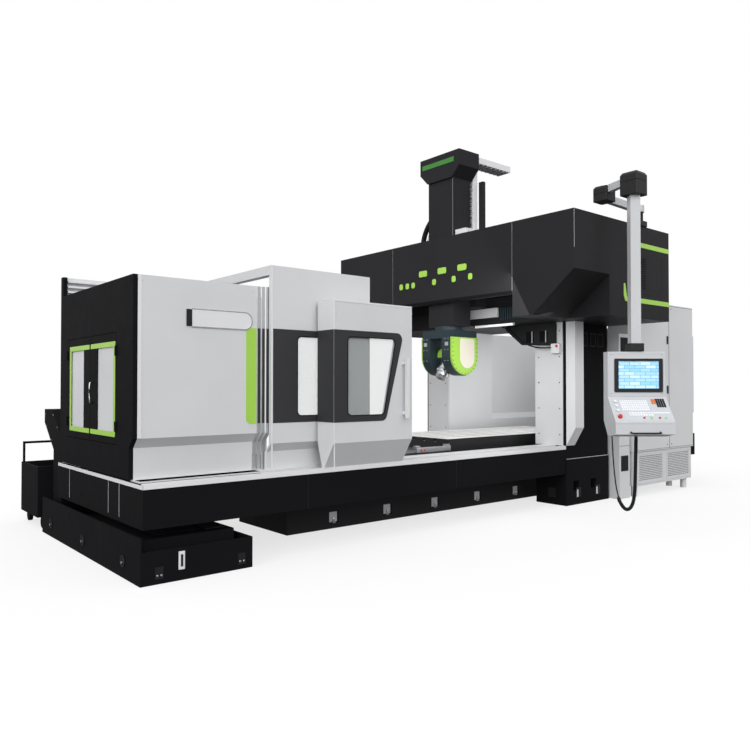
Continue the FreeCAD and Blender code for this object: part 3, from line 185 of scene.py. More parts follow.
def lit_screen():
    """A lit display: pale blue fields over a blue ground, drawn by brick patterns of plain blocks."""
    material, tree, shader, place = surface("lit_display", 0.25)
    upright = node_in(tree, "Mapping", {"Vector": place, "Rotation": (math.pi / 2, 0.0, 0.0)})
    fields = node_in(
        tree,
        "TexBrick",
        {
            "Vector": upright,
            "Scale": 12.0,
            "Color1": linear("#8fcdf2"),
            "Color2": linear("#cfe9f8"),
            "Mortar": linear("#5aa9e0"),
            "Mortar Size": 0.03,
            "Brick Width": 1.1,
            "Row Height": 0.45,
        },
    )
    tree.links.new(fields, shader.inputs["Base Color"])
    tree.links.new(fields, shader.inputs["Emission Color"])
    shader.inputs["Emission Strength"].default_value = 0.12
    return material


def lamp_glass():
    """Frosted lamp glass over a lit tube."""
    material, tree, shader, place = surface("frosted_lamp_glass", 0.5)
    grain = node_in(tree, "TexNoise", {"Vector": place, "Scale": 90.0})
    glow = two_tone(tree, grain, linear("#f1f3f5"), linear("#ffffff"))
    tree.links.new(glow, shader.inputs["Base Color"])
    tree.links.new(glow, shader.inputs["Emission Color"])
    shader.inputs["Emission Strength"].default_value = 0.5
    return material


clear = clear_sheet()
screen_glow = lit_screen()
lamp_white = lamp_glass()

# The finish slot of each material, for the pieces that don't state another
SLOTS = {
    material: slot
    for slot, materials in {
        "black_paint": (black_powder, painted_shade_black, dark_plastic, teal_enamel),
        "charcoal_paint": (charcoal_enamel, band_enamel),
        "white_paint": (white_powder, edge_white, cream_panel, key_plastic),
        "grey_paint": (shade_powder,),
        "green_paint": (leaf_green, deep_green),
        "pendant_grey": (pendant_paint, desk_film),
        "rubber": (rubber_sheath, red_plastic, orange_plastic),
        "steel": (bright_steel, cover_steel),
        "aluminium": (drawn_alloy, upright_alloy),
        "clear": (screen_glow, lamp_white),
    }.items()
    for material in materials
}


def new_object(name, data):
    """An object in the scene for a mesh, a curve, a light or a camera."""
    made = bpy.data.objects.new(name, data)
    bpy.context.scene.collection.objects.link(made)
    return made


def finish_mesh(name, points, faces, material, body, bevel=0.0, smooth=False, slot=None):
    """Puts arrays of points and faces into a mesh that rides on a body."""
    mesh = bpy.data.meshes.new(name)
    mesh.from_pydata(np.asarray(points).tolist(), [], faces if isinstance(faces, list) else faces.tolist())
    mesh.validate()
    piece = new_object(name, mesh)
    mesh.materials.append(material)
    mesh.polygons.foreach_set("use_smooth", np.full(len(mesh.polygons), smooth))
    if bevel:
        edge = piece.modifiers.new("edge", "BEVEL")
        edge.width = bevel
        edge.segments = 2
        edge.limit_method = "ANGLE"
        edge.angle_limit = math.radians(35)
    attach(piece, body)
    slot = slot or SLOTS[material]
    return piece


# For each axis that a profile is carried along: the axes of the profile's two columns
ACROSS = {0: (1, 2), 1: (0, 2), 2: (0, 1)}


def ring_faces(rings, sides):
    """Quads between rings of points, one for each side, and the caps of the first and the last ring."""
    ring = np.arange(sides)
    row = np.arange(rings - 1)[:, None] * sides
    a, b = row + ring, row + (ring + 1) % sides
    quads = np.stack([a, b, b + sides, a + sides], -1).reshape(-1, 4).tolist()
    return quads + [ring[::-1].tolist(), (ring + (rings - 1) * sides).tolist()]


def carried(outlines, axis, stations):
    """A closed profile carried along an axis: one ring of points for each station, and capped ends."""
    rings = np.asarray(outlines, float)
    stations = np.asarray(stations, float)
    count = rings.shape[-2]
    if rings.ndim == 2:
        rings = np.repeat(rings[None], len(stations), 0)
    points = np.zeros((len(stations), count, 3))
    first, second = ACROSS[axis]
    points[:, :, first] = rings[:, :, 0]
    points[:, :, second] = rings[:, :, 1]
    points[:, :, axis] = stations[:, None]
    area = np.sum(rings[0, :, 0] * np.roll(rings[0, :, 1], -1) - np.roll(rings[0, :, 0], -1) * rings[0, :, 1])
    outward = (area > 0) == (axis != 1)
    faces = ring_faces(len(stations), count)
    if not outward:
        faces = [face[::-1] for face in faces]
    return points.reshape(-1, 3), faces


def softened(corners, radius, steps=6):
    """An outline whose corners are arcs: each corner point becomes a circular arc tangent to both sides."""
    corners = np.asarray(corners, float)
    radii = np.broadcast_to(np.asarray(radius, float), (len(corners),))
    back = np.roll(corners, 1, 0) - corners
    ahead = np.roll(corners, -1, 0) - corners
    back /= np.linalg.norm(back, axis=1)[:, None]
    ahead /= np.linalg.norm(ahead, axis=1)[:, None]
    half = np.arccos(np.clip(np.sum(back * ahead, 1), -1, 1)) / 2
    run = (radii / np.tan(half))[:, None]
    middle = (back + ahead) / np.linalg.norm(back + ahead, axis=1)[:, None]
    centre = corners + middle * (radii / np.sin(half))[:, None]
    start = corners + back * run - centre
    end = corners + ahead * run - centre
    angle_a = np.arctan2(start[:, 1], start[:, 0])
    turn = (np.arctan2(end[:, 1], end[:, 0]) - angle_a + np.pi) % (2 * np.pi) - np.pi
    angles = angle_a[:, None] + turn[:, None] * np.linspace(0, 1, steps)
    arcs = centre[:, None] + radii[:, None, None] * np.stack([np.cos(angles), np.sin(angles)], -1)
    return arcs.reshape(-1, 2)


def rectangle(low_corner, high_corner):
    """The four corners of a rectangle, counter-clockwise."""
    (a, b), (c, d) = low_corner, high_corner
    return [(a, b), (c, b), (c, d), (a, d)]


def rounded(low_corner, high_corner, radius, steps=6):
    """A rectangle whose corners are arcs."""
    return softened(rectangle(low_corner, high_corner), radius, steps)


def slab(name, outline, axis, start, end, material, body="frame", bevel=0.0):
    """A flat piece of any outline between two places along an axis."""
    points, faces = carried(outline, axis, [start, end])
    return finish_mesh(name, points, faces, material, body, bevel)


def bezel(name, outer, inner, axis, start, end, material, body="frame"):
    """A flat ring between two outlines with as many points, front, back and both rims."""
    outer, inner = np.asarray(outer, float), np.asarray(inner, float)
    count = len(outer)
    first, second = ACROSS[axis]
    loops = []
    for outline, station in ((outer, start), (inner, start), (inner, end), (outer, end)):
        loop = np.zeros((count, 3))
        loop[:, first], loop[:, second], loop[:, axis] = outline[:, 0], outline[:, 1], station
        loops.append(loop)
    ring = np.arange(count)
    a = (np.arange(4)[:, None] * count) + ring
    b = (np.arange(4)[:, None] * count) + (ring + 1) % count
    faces = np.stack([a, b, np.roll(b, -1, 0), np.roll(a, -1, 0)], -1).reshape(-1, 4)
    area = np.sum(outer[:, 0] * np.roll(outer[:, 1], -1) - np.roll(outer[:, 0], -1) * outer[:, 1])
    if ((area > 0) == (axis != 1)) == (start < end):
        faces = faces[:, ::-1]
    return finish_mesh(name, np.concatenate(loops), faces, material, body)


BLOCK_FACES = np.array([(0, 2, 3, 1), (4, 5, 7, 6), (0, 1, 5, 4), (2, 6, 7, 3), (0, 4, 6, 2), (1, 3, 7, 5)])
BLOCK_CORNERS = np.array([(x, y, z) for z in (-1, 1) for y in (-1, 1) for x in (-1, 1)]) / 2


def blocks(name, centres, sizes, material, body="frame", bevel=0.0):
    """Many boxes as one mesh: the unit box's corners times each size, moved to each centre."""
    centres = np.atleast_2d(np.asarray(centres, float))
    sizes = np.broadcast_to(np.asarray(sizes, float), centres.shape)
    points = (centres[:, None] + BLOCK_CORNERS[None] * sizes[:, None]).reshape(-1, 3)
    faces = (BLOCK_FACES[None] + np.arange(len(centres))[:, None, None] * 8).reshape(-1, 4)
    return finish_mesh(name, points, faces, material, body, bevel)


def studs(name, centres, axis, radius, height, material, body="frame", sides=10, dome=0.75, slot=None):
    """Many short round studs as one mesh: a ring at the foot, a smaller ring at the head, and a cap."""
    centres = np.atleast_2d(np.asarray(centres, float))
    angle = np.linspace(0, 2 * np.pi, sides, endpoint=False)
    first, second = ACROSS[abs(axis) - 1]
    way = math.copysign(1, axis)
    levels = [(radius, 0.0), (radius, height * dome), (radius * 0.8, height)]
    one = np.zeros((len(levels), sides, 3))
    for level, (reach, rise) in enumerate(levels):
        one[level, :, first] = np.cos(angle) * reach
        one[level, :, second] = np.sin(angle) * reach
        one[level, :, abs(axis) - 1] = rise * way
    points = (centres[:, None] + one.reshape(1, -1, 3)).reshape(-1, 3)
    one_faces = ring_faces(len(levels), sides)
    if (way < 0) != (abs(axis) == 2):
        one_faces = [face[::-1] for face in one_faces]
    size = len(levels) * sides
    faces = [[index + shift * size for index in face] for shift in range(len(centres)) for face in one_faces]
    return finish_mesh(name, points, faces, material, body, slot=slot)


def tube(name, path, radius, material, body="frame", sides=12, slot=None):
    """A round profile carried along a path of points, turned to stay across it."""
    path = np.asarray(path, float)
    ahead = np.gradient(path, axis=0)
    ahead /= np.linalg.norm(ahead, axis=1)[:, None]
    guide = np.array([0.0, 0.0, 1.0]) if abs(ahead[0, 2]) < 0.9 else np.array([1.0, 0.0, 0.0])
    side = np.cross(ahead, guide)
    side /= np.linalg.norm(side, axis=1)[:, None]
    up = np.cross(side, ahead)
    angle = np.linspace(0, 2 * np.pi, sides, endpoint=False)
    ring = np.cos(angle)[None, :, None] * side[:, None] + np.sin(angle)[None, :, None] * up[:, None]
    points = (path[:, None] + ring * radius).reshape(-1, 3)
    index = np.arange(sides)
    row = np.arange(len(path) - 1)[:, None] * sides
    a, b = row + index, row + (index + 1) % sides
    quads = np.stack([a, a + sides, b + sides, b], -1).reshape(-1, 4).tolist()
    caps = [index.tolist(), (index + (len(path) - 1) * sides)[::-1].tolist()]
    return finish_mesh(name, points, quads + caps, material, body, smooth=True, slot=slot)


def spun(name, outline, middle, axis, material, body="frame", sides=40, slot=None):
    """A profile of (radius, height) pairs turned round an axis vector through a point."""
    outline = np.asarray(outline, float)
    axis = np.asarray(axis, float) / np.linalg.norm(axis)
    guide = np.array([0.0, 1.0, 0.0]) if abs(axis[1]) < 0.9 else np.array([1.0, 0.0, 0.0])
    first = np.cross(axis, guide)
    first /= np.linalg.norm(first)
    second = np.cross(axis, first)
    angle = np.linspace(0, 2 * np.pi, sides, endpoint=False)
    ring = np.cos(angle)[:, None] * first + np.sin(angle)[:, None] * second
    points = np.asarray(middle) + outline[:, None, :1] * ring[None] + outline[:, None, 1:] * axis
    faces = ring_faces(len(outline), sides)
    return finish_mesh(name, points.reshape(-1, 3), faces, material, body, slot=slot)


def table_casting():
    """Scraped iron on the faces that look up and black paint on the others, told apart by the normal's Z."""
    material, tree, shader, place = surface("ground_top_painted_sides", 0.45)
    squeeze = node_in(tree, "Mapping", {"Vector": place, "Scale": (0.05, 1.0, 1.0)})
    lines = node_in(tree, "TexNoise", {"Vector": squeeze, "Scale": 260.0, "Detail": 3.0})
    iron = two_tone(tree, lines, linear("#d6d6d4"), linear("#f0f0ee"))
    normal = node_in(tree, "NewGeometry", out="Normal")
    up = node_in(tree, "SeparateXYZ", {"Vector": normal}, out="Z")
    top = node_in(tree, "Math", {0: up, 1: 0.5}, operation="GREATER_THAN")
    colour = node_in(tree, "Mix", {0: top, 6: linear("#141416"), 7: iron}, out=2, data_type="RGBA")
    tree.links.new(colour, shader.inputs["Base Color"])
    bare = node_in(tree, "Math", {0: top, 1: 0.05}, operation="MULTIPLY")
    tree.links.new(bare, shader.inputs["Metallic"])
    bumped(tree, shader, lines, 0.2, 0.0003)
    return material


finishes = {
    black_powder: "pan_left pan_right column_near column_far end_panel_left end_door_near end_door_far "
    "coolant_tank filter_box chip_conveyor chip_cart way_covers_fixed",
    charcoal_enamel: "bed beam_end_near beam_end_far beam_cover_front cross_rail ram saddle arm_post",
    white_powder: "side_panel_near side_panel_far sliding_hood front_door column_guards right_housing "
    "cabinet cabinet_base oil_chiller right_shelves",
    edge_white: "door_rails column_jamb door_handle cable_ladder",
    arm_enamel: "arm_link_inner arm_link_outer drop_tube",
    leaf_green: "cheek_cover_near cheek_cover_far",
    teal_enamel: "fork",
    bright_steel: "spindle spindle_housing",
    cover_steel: "way_cover_left_1 way_cover_left_2 way_cover_right_1 way_cover_right_2 way_covers_table",
    clear: "door_pane hood_pane",
    frosted_pane: "end_pane_near end_pane_far",
    pendant_paint: "pendant",
    rubber_sheath: "hose_arch handwheel_cord handwheel_coil",
    lamp_white: "signal_lamp",
    table_casting(): "table",
}
for material, names in finishes.items():
    for name in names.split():
        nodes[name].data.materials.clear()
        nodes[name].data.materials.append(material)

# End panel: a green band round both leaves, the near leaf's bow handle and the panel's screws
side = -4.918
for name, start, reach, band in (("near", -0.02, -0.677, -0.045), ("far", 0.02, 0.627, 0.045)):
    corners = [
        (start, 1.15), (reach, 1.15), (reach, 2.0), (start, 2.0),
        (start, 1.955), (reach - band, 1.955), (reach - band, 1.195), (start, 1.195),
    ]
    slab(
        f"door_band_{name}", softened(corners, 0.006, 3), 0, side - 0.003, side - LIFT, leaf_green,
        f"end_door_{name}"
    )
bow = [(side, -0.075, 1.44), (side - 0.028, -0.075, 1.448), (side - 0.034, -0.075, 1.5)]
bow += [(side - 0.034, -0.075, 1.58), (side - 0.028, -0.075, 1.632), (side, -0.075, 1.64)]
tube("leaf_handle", bow, 0.007, bright_steel, "end_door_near")
places = [(side, -1.06, z) for z in np.linspace(1.2, 2.5, 6)]
places += [(side, 0.93, z) for z in np.linspace(0.9, 2.66, 7)]
studs("end_panel_screws", places, -1, 0.007, 0.004, black_powder)

# Near side panel: bare name plate, green strip and the telescoping strips behind the hood
plane = -1.089
block_end, plate_end = -4.39, -3.79
slab(
    "plate_block", rectangle((-4.442, 2.135), (block_end, 2.285)), 1, plane - 0.012, plane - LIFT,
    dark_plastic, bevel=0.003
)
plate = softened(
    [(block_end, 2.135), (plate_end, 2.135), (plate_end, 2.285), (block_end, 2.285)],
    [0.002, 0.07, 0.07, 0.002], 8
)
rim = softened(
    [(block_end, 2.125), (plate_end + 0.01, 2.125), (plate_end + 0.01, 2.295), (block_end, 2.295)],
    [0.002, 0.078, 0.078, 0.002], 8
)
bezel("plate_rim", rim, plate, 1, plane - 0.008, plane - LIFT, bright_steel)
slab("name_plate", plate, 1, plane - 0.006, plane - LIFT, edge_white)
strip = rounded((-3.844, 1.246), (-3.735, 2.15), [0.05, 0.004, 0.004, 0.05], 8)
slab("green_strip", strip, 1, plane - 0.004, plane - LIFT, leaf_green)
bend = np.array([(0.0, 2.55), (0.0, 1.157), (0.085, 1.072), (0.085, 0.806)])
strips = [(-3.729, -3.69, 0.006), (-3.688, -3.65, 0.018), (-3.648, -3.6, 0.03)]
for index, (start, end, depth) in enumerate(strips, 1):
    front = plane - depth
    face_line = bend + (front, 0)
    strip = np.concatenate([face_line, face_line[::-1] + (0.004, 0)])
    slab(f"slide_strip_{index}", strip, 0, start, end, upright_alloy, bevel=0.001)
    dark = rectangle((start + 0.006, BAND_LOW), (end - 0.003, BAND_HIGH))
    slab(f"slide_band_{index}", dark, 1, front - 0.0015, front - 0.0001, band_enamel)
places = [(x, plane, z) for x in (-4.84, -3.77) for z in (1.22, 1.7, 2.5)]
studs("side_panel_screws", places, -2, 0.006, 0.003, shade_powder, slot="white_paint")

# Slats inside the far side panel, and the alloy tray on the table's near side
slats = [(-4.3, 0.8915, z) for z in (2.6, 2.655, 2.71)]
blocks("far_slats", slats, (1.14, 0.0575, 0.022), edge_white, bevel=0.003)
blocks("table_tray", (-1.0, -0.681, 0.82), (0.58, 0.06, 0.06), drawn_alloy, "table", bevel=0.003)
blocks(
    "table_tray_ends", [(-1.27, -0.681, 0.85), (-0.76, -0.681, 0.85)], (0.07, 0.058, 0.05), bright_steel,
    "table", bevel=0.004
)
blocks(
    "table_tray_marks", [(-1.22, -0.7115, 0.82), (-1.17, -0.7115, 0.82)], (0.025, 0.0015, 0.02), red_plastic,
    "table"
)

# Hood and front door: dark bands round the windows, with rubber seals
window = rounded((-3.33, PANE_LOW), (-2.72, PANE_HIGH), 0.05, 8)
band = rounded((-3.6, BAND_LOW), (-2.412, BAND_HIGH), 0.004, 8)
bezel("hood_band", band, window, 1, HOOD_FACE - 0.0035, HOOD_FACE - LIFT, band_enamel, "hood")
seal = rounded((-3.318, PANE_LOW + 0.012), (-2.732, PANE_HIGH - 0.012), 0.04, 8)
bezel("hood_seal", window, seal, 1, HOOD_FACE - 0.0045, HOOD_FACE + 0.001, rubber_sheath, "hood")
door_window = np.array([(-2.95, PANE_LOW), (-2.47, PANE_LOW), (-2.31, PANE_HIGH), (-2.95, PANE_HIGH)])
inset = np.array([(0.012, 0.012), (-0.014, 0.012), (-0.014, -0.012), (0.012, -0.012)])
opening = softened(door_window, 0.05, 8)
band = [(-3.109, BAND_LOW), (-2.452, BAND_LOW), (-2.208, BAND_HIGH), (-3.109, BAND_HIGH)]
band = softened(band, [0.004, 0.07, 0.07, 0.004], 8)
bezel("door_band", band, opening, 1, DOOR_FACE - 0.0035, DOOR_FACE - LIFT, band_enamel, "front_door")
bezel(
    "door_seal", opening, softened(door_window + inset, 0.04, 8), 1, DOOR_FACE - 0.0045, DOOR_FACE + 0.001,
    rubber_sheath, "front_door"
)
slab(
    "door_return_band", rectangle((DOOR_FACE + LIFT, BAND_LOW), (-1.2125, BAND_HIGH)), 0, -3.1145, -3.1112,
    band_enamel, "front_door"
)
for name, low, high, front, proud, body in (
    # The door's two edge strips, lighter than the door and broken where the dark band wraps round it, are
    # painted highlights along the door's edge
    ("door_edge_trim_1", (-3.111, 0.81), (-3.099, 1.248), DOOR_FACE, 0.0026, "front_door"),
    ("door_edge_trim_2", (-3.111, 2.152), (-3.099, 2.438), DOOR_FACE, 0.0026, "front_door"),
    ("door_top_trim", (-3.096, 2.424), (-2.092, 2.438), DOOR_FACE, 0.0032, "front_door"),
    ("hood_edge_trim", (-3.619, 0.81), (-3.604, 2.75), HOOD_FACE, 0.0032, "hood"),
):
    slab(name, rectangle(low, high), 1, front - proud, front - LIFT, edge_white, body)
slab(
    "panel_corner_trim", rectangle((-4.877, 1.16), (-4.845, 2.545)), 1, plane - 0.003, plane - LIFT,
    edge_white, bevel=0.001
)
places = [(x, DOOR_FACE, z) for x in (-3.08, -2.12) for z in (2.3, 1.75)]
studs("door_screws", places, -2, 0.006, 0.003, shade_powder, "front_door", slot="white_paint")

# Pan: white cappings, painted shade under the side panel's lower edge as a matt black strip, and seams where
# its lengths meet
slab(
    "pan_capping", rectangle((-1.3305, CAP_LOW), (-1.3222, CAP_HIGH)), 0, -4.9175, 0.8485, edge_white,
    bevel=0.001
)
slab(
    "end_capping", rectangle((-1.32, CAP_LOW), (1.008, CAP_HIGH)), 0, side - 0.005, side - LIFT, edge_white,
    bevel=0.001
)
# A matt black strip on the pan between its white capping and the side panel: painted shade under the side
# panel's lower edge
shade_strips = [(-4.31, -1.2285, 0.7908), (-4.31, -1.1115, 0.8048)]
blocks("pan_painted_shade", shade_strips, (1.14, 0.113, 0.0014), painted_shade_black)
blocks("pan_seams", [(x, -1.3235, 0.59) for x in (-3.3, -1.25)], (0.006, 0.0026, 0.328), dark_plastic)

# Column guards: screws of the white plates
places = [(0.838, y, z) for y in (-1.24, -0.9, 0.9, 1.24) for z in (0.95, 1.3, 1.65, 2.0, 2.35)]
studs("guard_screws", places, -1, 0.009, 0.004, dark_plastic)

# Levelling pockets of the bed and the columns' feet: a plate and a screw with its nut in each
places = np.array([(x, y, 0.0) for y in (-0.52, 0.52) for x in np.linspace(-2.4, 2.4, 7)])
inward = -np.sign(places[:, 1:2]) * np.array([[0.0, 1.0, 0.0]])
blocks(
    "levelling_plates", places + inward * 0.02 + (0, 0, 0.126), (0.112, 0.006, 0.112), shade_powder,
    bevel=0.001
)
roots = places + inward * 0.003 + (0, 0, 0.0605)
studs("levelling_screws", roots, 3, 0.012, 0.062, bright_steel, sides=12)
studs("levelling_nuts", roots, 3, 0.022, 0.018, bright_steel, sides=6, dome=0.9)
for name, facing in (("near", -1), ("far", 1)):
    front = 1.336 * facing
    wells = [(x, front + 0.002 * facing, 0.16) for x in (1.12, 1.58)]
    blocks(f"foot_wells_{name}", wells, (0.12, 0.004, 0.13), dark_plastic, bevel=0.001)
    blocks(
        f"foot_tabs_{name}", [(x - 0.025, front + 0.006 * facing, 0.15) for x in (1.12, 1.58)],
        (0.03, 0.004, 0.1), shade_powder, bevel=0.001
    )
    blocks(f"foot_front_{name}", (0.848, 1.1 * facing, 0.16), (0.004, 0.12, 0.13), dark_plastic, bevel=0.001)
    vents = [(x, front + 0.003 * facing, 2.245) for x in (1.285, 1.48, 1.66)]
    blocks(f"column_frames_{name}", vents, (0.15, 0.006, 0.19), charcoal_enamel, bevel=0.002)
    blocks(
        f"column_wells_{name}", [(x, y + 0.005 * facing, z) for x, y, z in vents], (0.1, 0.004, 0.15),
        black_powder, bevel=0.001
    )
slab("column_seam", rectangle((0.852, 0.622), (1.858, 0.628)), 1, -1.3385, -1.3362, shade_powder)

# Beam: green caps on the front, a panel seam with painted highlights along the panel edges, and the near
# end's stripes, louvred panel and a painted highlight down its corner
face = -0.243
wide = [(y, 3.19) for y in (0.277, -0.098, -0.473)]
small = [(y, 3.05) for y in (0.738, 0.606, 0.481, 0.054, -0.321, -0.622)]
for index, (y, z) in enumerate(wide + small, 1):
    half_y, half_z = (0.08, 0.043) if index < 4 else (0.034, 0.042)
    ring = rounded((y - half_y, z - half_z), (y + half_y, z + half_z), 0.024)
    slab(f"front_cap_{index}", ring, 0, face - 0.012, face - LIFT, leaf_green, bevel=0.003)
blocks("front_seams", (face - 0.0012, 0.926, 3.198), (0.002, 0.006, 0.9), dark_plastic)
# Light grey lines at the cover's near edge and beside the dark seam: painted highlights of the panel edges
blocks("beam_seams", [(face - 0.0012, y, 3.198) for y in (-1.317, 0.931)], (0.0016, 0.002, 0.9), shade_powder)
slab(
    "cover_lip", rectangle((-1.318, 2.747), (1.318, 2.79)), 0, face - 0.006, face - LIFT, black_powder,
    bevel=0.001
)
end = -2.217
slab("end_stripe_high", rectangle((0.97, 3.372), (1.9185, 3.432)), 1, end - 0.003, end - LIFT, leaf_green)
low_stripe = [
    (0.835, 2.66), (1.9185, 2.66), (1.9185, 2.72), (0.87, 2.72), (0.835, 2.88), (0.8, 2.88), (0.8, 2.73)
]
slab("end_stripe_low", softened(low_stripe, 0.006, 3), 1, end - 0.003, end - LIFT, leaf_green)
frame_out = rounded((1.0, 2.8), (1.75, 3.29), 0.04)
bezel(
    "louvre_frame", frame_out, rounded((1.006, 2.806), (1.744, 3.284), 0.035), 1, end - 0.002, end - LIFT,
    dark_plastic
)
rows = [(1.2, end - 0.003, z) for z in np.linspace(2.86, 3.23, 13)]
blocks("louvre_rows", rows, (0.26, 0.006, 0.009), black_powder, bevel=0.002)
# A light grey strip down the corner of the beam's near end: a painted highlight of the corner edge
blocks("end_edge", (face + 0.003, end - 0.0008, 3.422), (0.005, 0.0012, 0.45), shade_powder)

# Under the beam: white cover and pleats on the cross rail, the lamp tube, and the black bracket
slab("rail_cover", rectangle((-0.54, 2.56), (0.6, 2.69)), 0, 0.386, 0.4198, edge_white, bevel=0.003)
pleats = np.arange(-1.28, -0.56, 0.04)
blocks("rail_pleats", [(0.404, y, 2.6) for y in pleats], (0.031, 0.022, 0.17), teal_enamel, bevel=0.004)
path = [(0.42, y, 2.447) for y in np.linspace(-0.8, -0.12, 3)]
tube("lamp_tube", path, 0.016, lamp_white, sides=16)
blocks(
    "lamp_ends", [(0.42, y, 2.448) for y in (-0.815, -0.105)], (0.044, 0.03, 0.034), bright_steel, bevel=0.003
)
outline = softened([(-1.2, 2.15), (-0.64, 2.18), (-0.36, 2.4), (-0.36, 2.463), (-1.2, 2.463)], 0.008, 3)
slab("upper_bracket", outline, 0, 0.785, 0.8377, charcoal_enamel, bevel=0.004)
blocks(
    "bracket_wells", [(0.783, y, 2.28) for y in (-0.79, -1.02)], (0.005, 0.13, 0.15), black_powder,
    bevel=0.002
)
blocks(
    "bracket_bars", [(0.779, y, 2.28) for y in (-0.83, -1.06)], (0.005, 0.012, 0.16), shade_powder,
    bevel=0.002
)
turn = np.linspace(0, 1, 24)[:, None]
a, b, c, d = (
    np.array(p) for p in ((0.775, -0.3, 2.45), (0.76, -0.55, 2.43), (0.76, -0.62, 2.07), (0.775, -1.19, 2.13))
)
sag = a * (1 - turn) ** 3 + 3 * b * turn * (1 - turn) ** 2 + 3 * c * turn**2 * (1 - turn) + d * turn**3
tube("beam_cable", sag, 0.01, rubber_sheath, sides=10)
blocks("junction_box", (0.8, -1.215, 2.11), (0.07, 0.13, 0.13), edge_white, bevel=0.006)
studs("junction_button", (0.765, -1.25, 2.14), -1, 0.018, 0.014, red_plastic, sides=16)

# Ram: green stripe on the cap, side cover line, and what the saddle carries beside it
slab("cap_stripe", rectangle((-0.28, 4.674), (0.335, 4.74)), 0, -0.2035, -0.2002, deep_green, "ram")
bezel(
    "ram_cover_rim", rounded((-0.13, 3.75), (0.13, 4.5), 0.01),
    rounded((-0.126, 3.754), (0.126, 4.496), 0.008), 1, -0.2422, -0.2402, dark_plastic, "ram"
)
blocks("ram_catch", (0.05, -0.2435, 4.05), (0.018, 0.007, 0.09), dark_plastic, "ram", bevel=0.003)
blocks("ram_way", (-0.171, -0.232, 4.1), (0.002, 0.01, 0.9), cover_steel, "ram")
blocks("side_tray", (0.1, -0.355, 3.7), (0.5, 0.2, 0.085), edge_white, "saddle", bevel=0.006)
blocks("side_tray_foot", (0.28, -0.3, 3.629), (0.15, 0.085, 0.057), edge_white, "saddle", bevel=0.002)
blocks("motor_post", (0.347, -0.305, 4.04), (0.055, 0.08, 0.88), charcoal_enamel, "saddle", bevel=0.004)
heights = np.arange(3.72, 4.72, 0.055)
studs("ladder_dots", [(0.215, -0.19, z) for z in heights], -1, 0.009, 0.004, red_plastic, "saddle", sides=10)
blocks(
    "ladder_holes", [(0.2145, -0.19, z + 0.027) for z in heights], (0.002, 0.07, 0.012), dark_plastic,
    "saddle"
)
blocks(
    "tray_ribs", [(x, -0.14, 4.752) for x in np.arange(0.36, 1.0, 0.09)], (0.02, 0.2, 0.015), shade_powder,
    "saddle", bevel=0.002
)
angle = np.radians(np.linspace(0, 62, 20))
hoses = [("orange", 0.42, 0.02, orange_plastic, 0.017), ("white", 0.375, -0.022, edge_white, 0.014)]
for name, reach, drop, material, radius in hoses:
    arc = np.stack([np.full(20, 0.253 + drop), 0.3 + reach * np.cos(angle), 3.69 + reach * np.sin(angle)], -1)
    tube(f"hose_{name}", arc, radius, material, "saddle", slot="rubber", sides=10)
bracket = [(0.33, 3.6), (0.345, 3.6), (0.345, 3.668), (0.75, 3.668), (0.75, 3.68), (0.33, 3.68)]
slab("hose_bracket", bracket, 0, 0.225, 0.282, drawn_alloy, "saddle", bevel=0.001)
blocks("hose_clamp", (0.253, 0.69, 3.716), (0.085, 0.12, 0.1), edge_white, "saddle", bevel=0.005)

# Head: cream inlay and screws on the cheeks, plates and screws on the fork, and the turned nose.
# Each inlay is a half circle below and the two arcs of its upper corners, which are five points each
CHEEK_FACE = 0.297
for name, way in (("near", -1), ("far", 1)):
    out = CHEEK_FACE * way
    angle = np.linspace(np.pi, 2 * np.pi, 19)
    foot = np.stack([0.042 + 0.143 * np.cos(angle), 1.99 + 0.143 * np.sin(angle)], -1)
    brow = [(0.185, 2.255), (-0.101, 2.255), (-0.101, 2.2), (0.185, 2.2)]
    inlay = np.concatenate([foot, softened(brow, [0.02, 0.02, 0.001, 0.001], 5)[:10]])
    slab(
        f"cheek_inlay_{name}", inlay, 1, out + 0.005 * way, out + LIFT * way, cream_panel, "fork", bevel=0.002
    )
    angle = np.linspace(np.pi, 2 * np.pi, 13)
    round_row = np.stack([0.24 * np.cos(angle), np.full(13, out), TILT_HIGH + 0.24 * np.sin(angle)], -1)
    sides = [(x, out, z) for x in (-0.24, 0.24) for z in np.linspace(2.075, 2.25, 4)]
    studs(
        f"cheek_screws_{name}", np.concatenate([round_row, sides]), 2 * way, 0.007, 0.004, dark_plastic,
        "fork"
    )
disc = [(0.118, 0.0), (0.118, 0.01), (0.108, 0.018)]
for name, way in (("near", -1), ("far", 1)):
    spun(f"tilt_disc_{name}", disc, (0, 0.1152 * way, TILT_HIGH), (0, way, 0), leaf_green, "tilt", sides=36)
turn = np.radians(np.linspace(62, 186, 26))
arc = np.stack([np.cos(turn), np.sin(turn)], -1)
cover = np.concatenate([0.1316 * arc, 0.1302 * arc[::-1]]) + (0, TILT_HIGH)
slab("tilt_cover", cover, 1, -0.108, 0.108, leaf_green, "tilt")
screws = [(-0.27, y, z) for y in (-0.235, -0.175, 0.175, 0.235) for z in (1.95, 2.1, 2.25)]
studs("fork_screws", screws, -1, 0.008, 0.005, bright_steel, "fork")
blocks(
    "fork_plates", [(-0.272, -0.205, 2.18), (-0.272, 0.205, 2.18)], (0.004, 0.06, 0.05), drawn_alloy, "fork",
    bevel=0.001
)
lean = np.radians(30)
nose_way = np.array([-np.sin(lean), 0, -np.cos(lean)])
tilt_middle = np.array([0, 0, TILT_HIGH])
nose_rings = [
    (0.089, 0.2), (0.098, 0.204), (0.098, 0.228), (0.09, 0.232), (0.09, 0.252), (0.097, 0.256),
    (0.097, 0.276), (0.088, 0.28)
]
spun("nose_rings", nose_rings, tilt_middle, nose_way, bright_steel, "tilt", sides=48)
across_nose = np.array([np.cos(lean), 0, -np.sin(lean)])
turns = np.radians(np.arange(22.5, 360, 45))
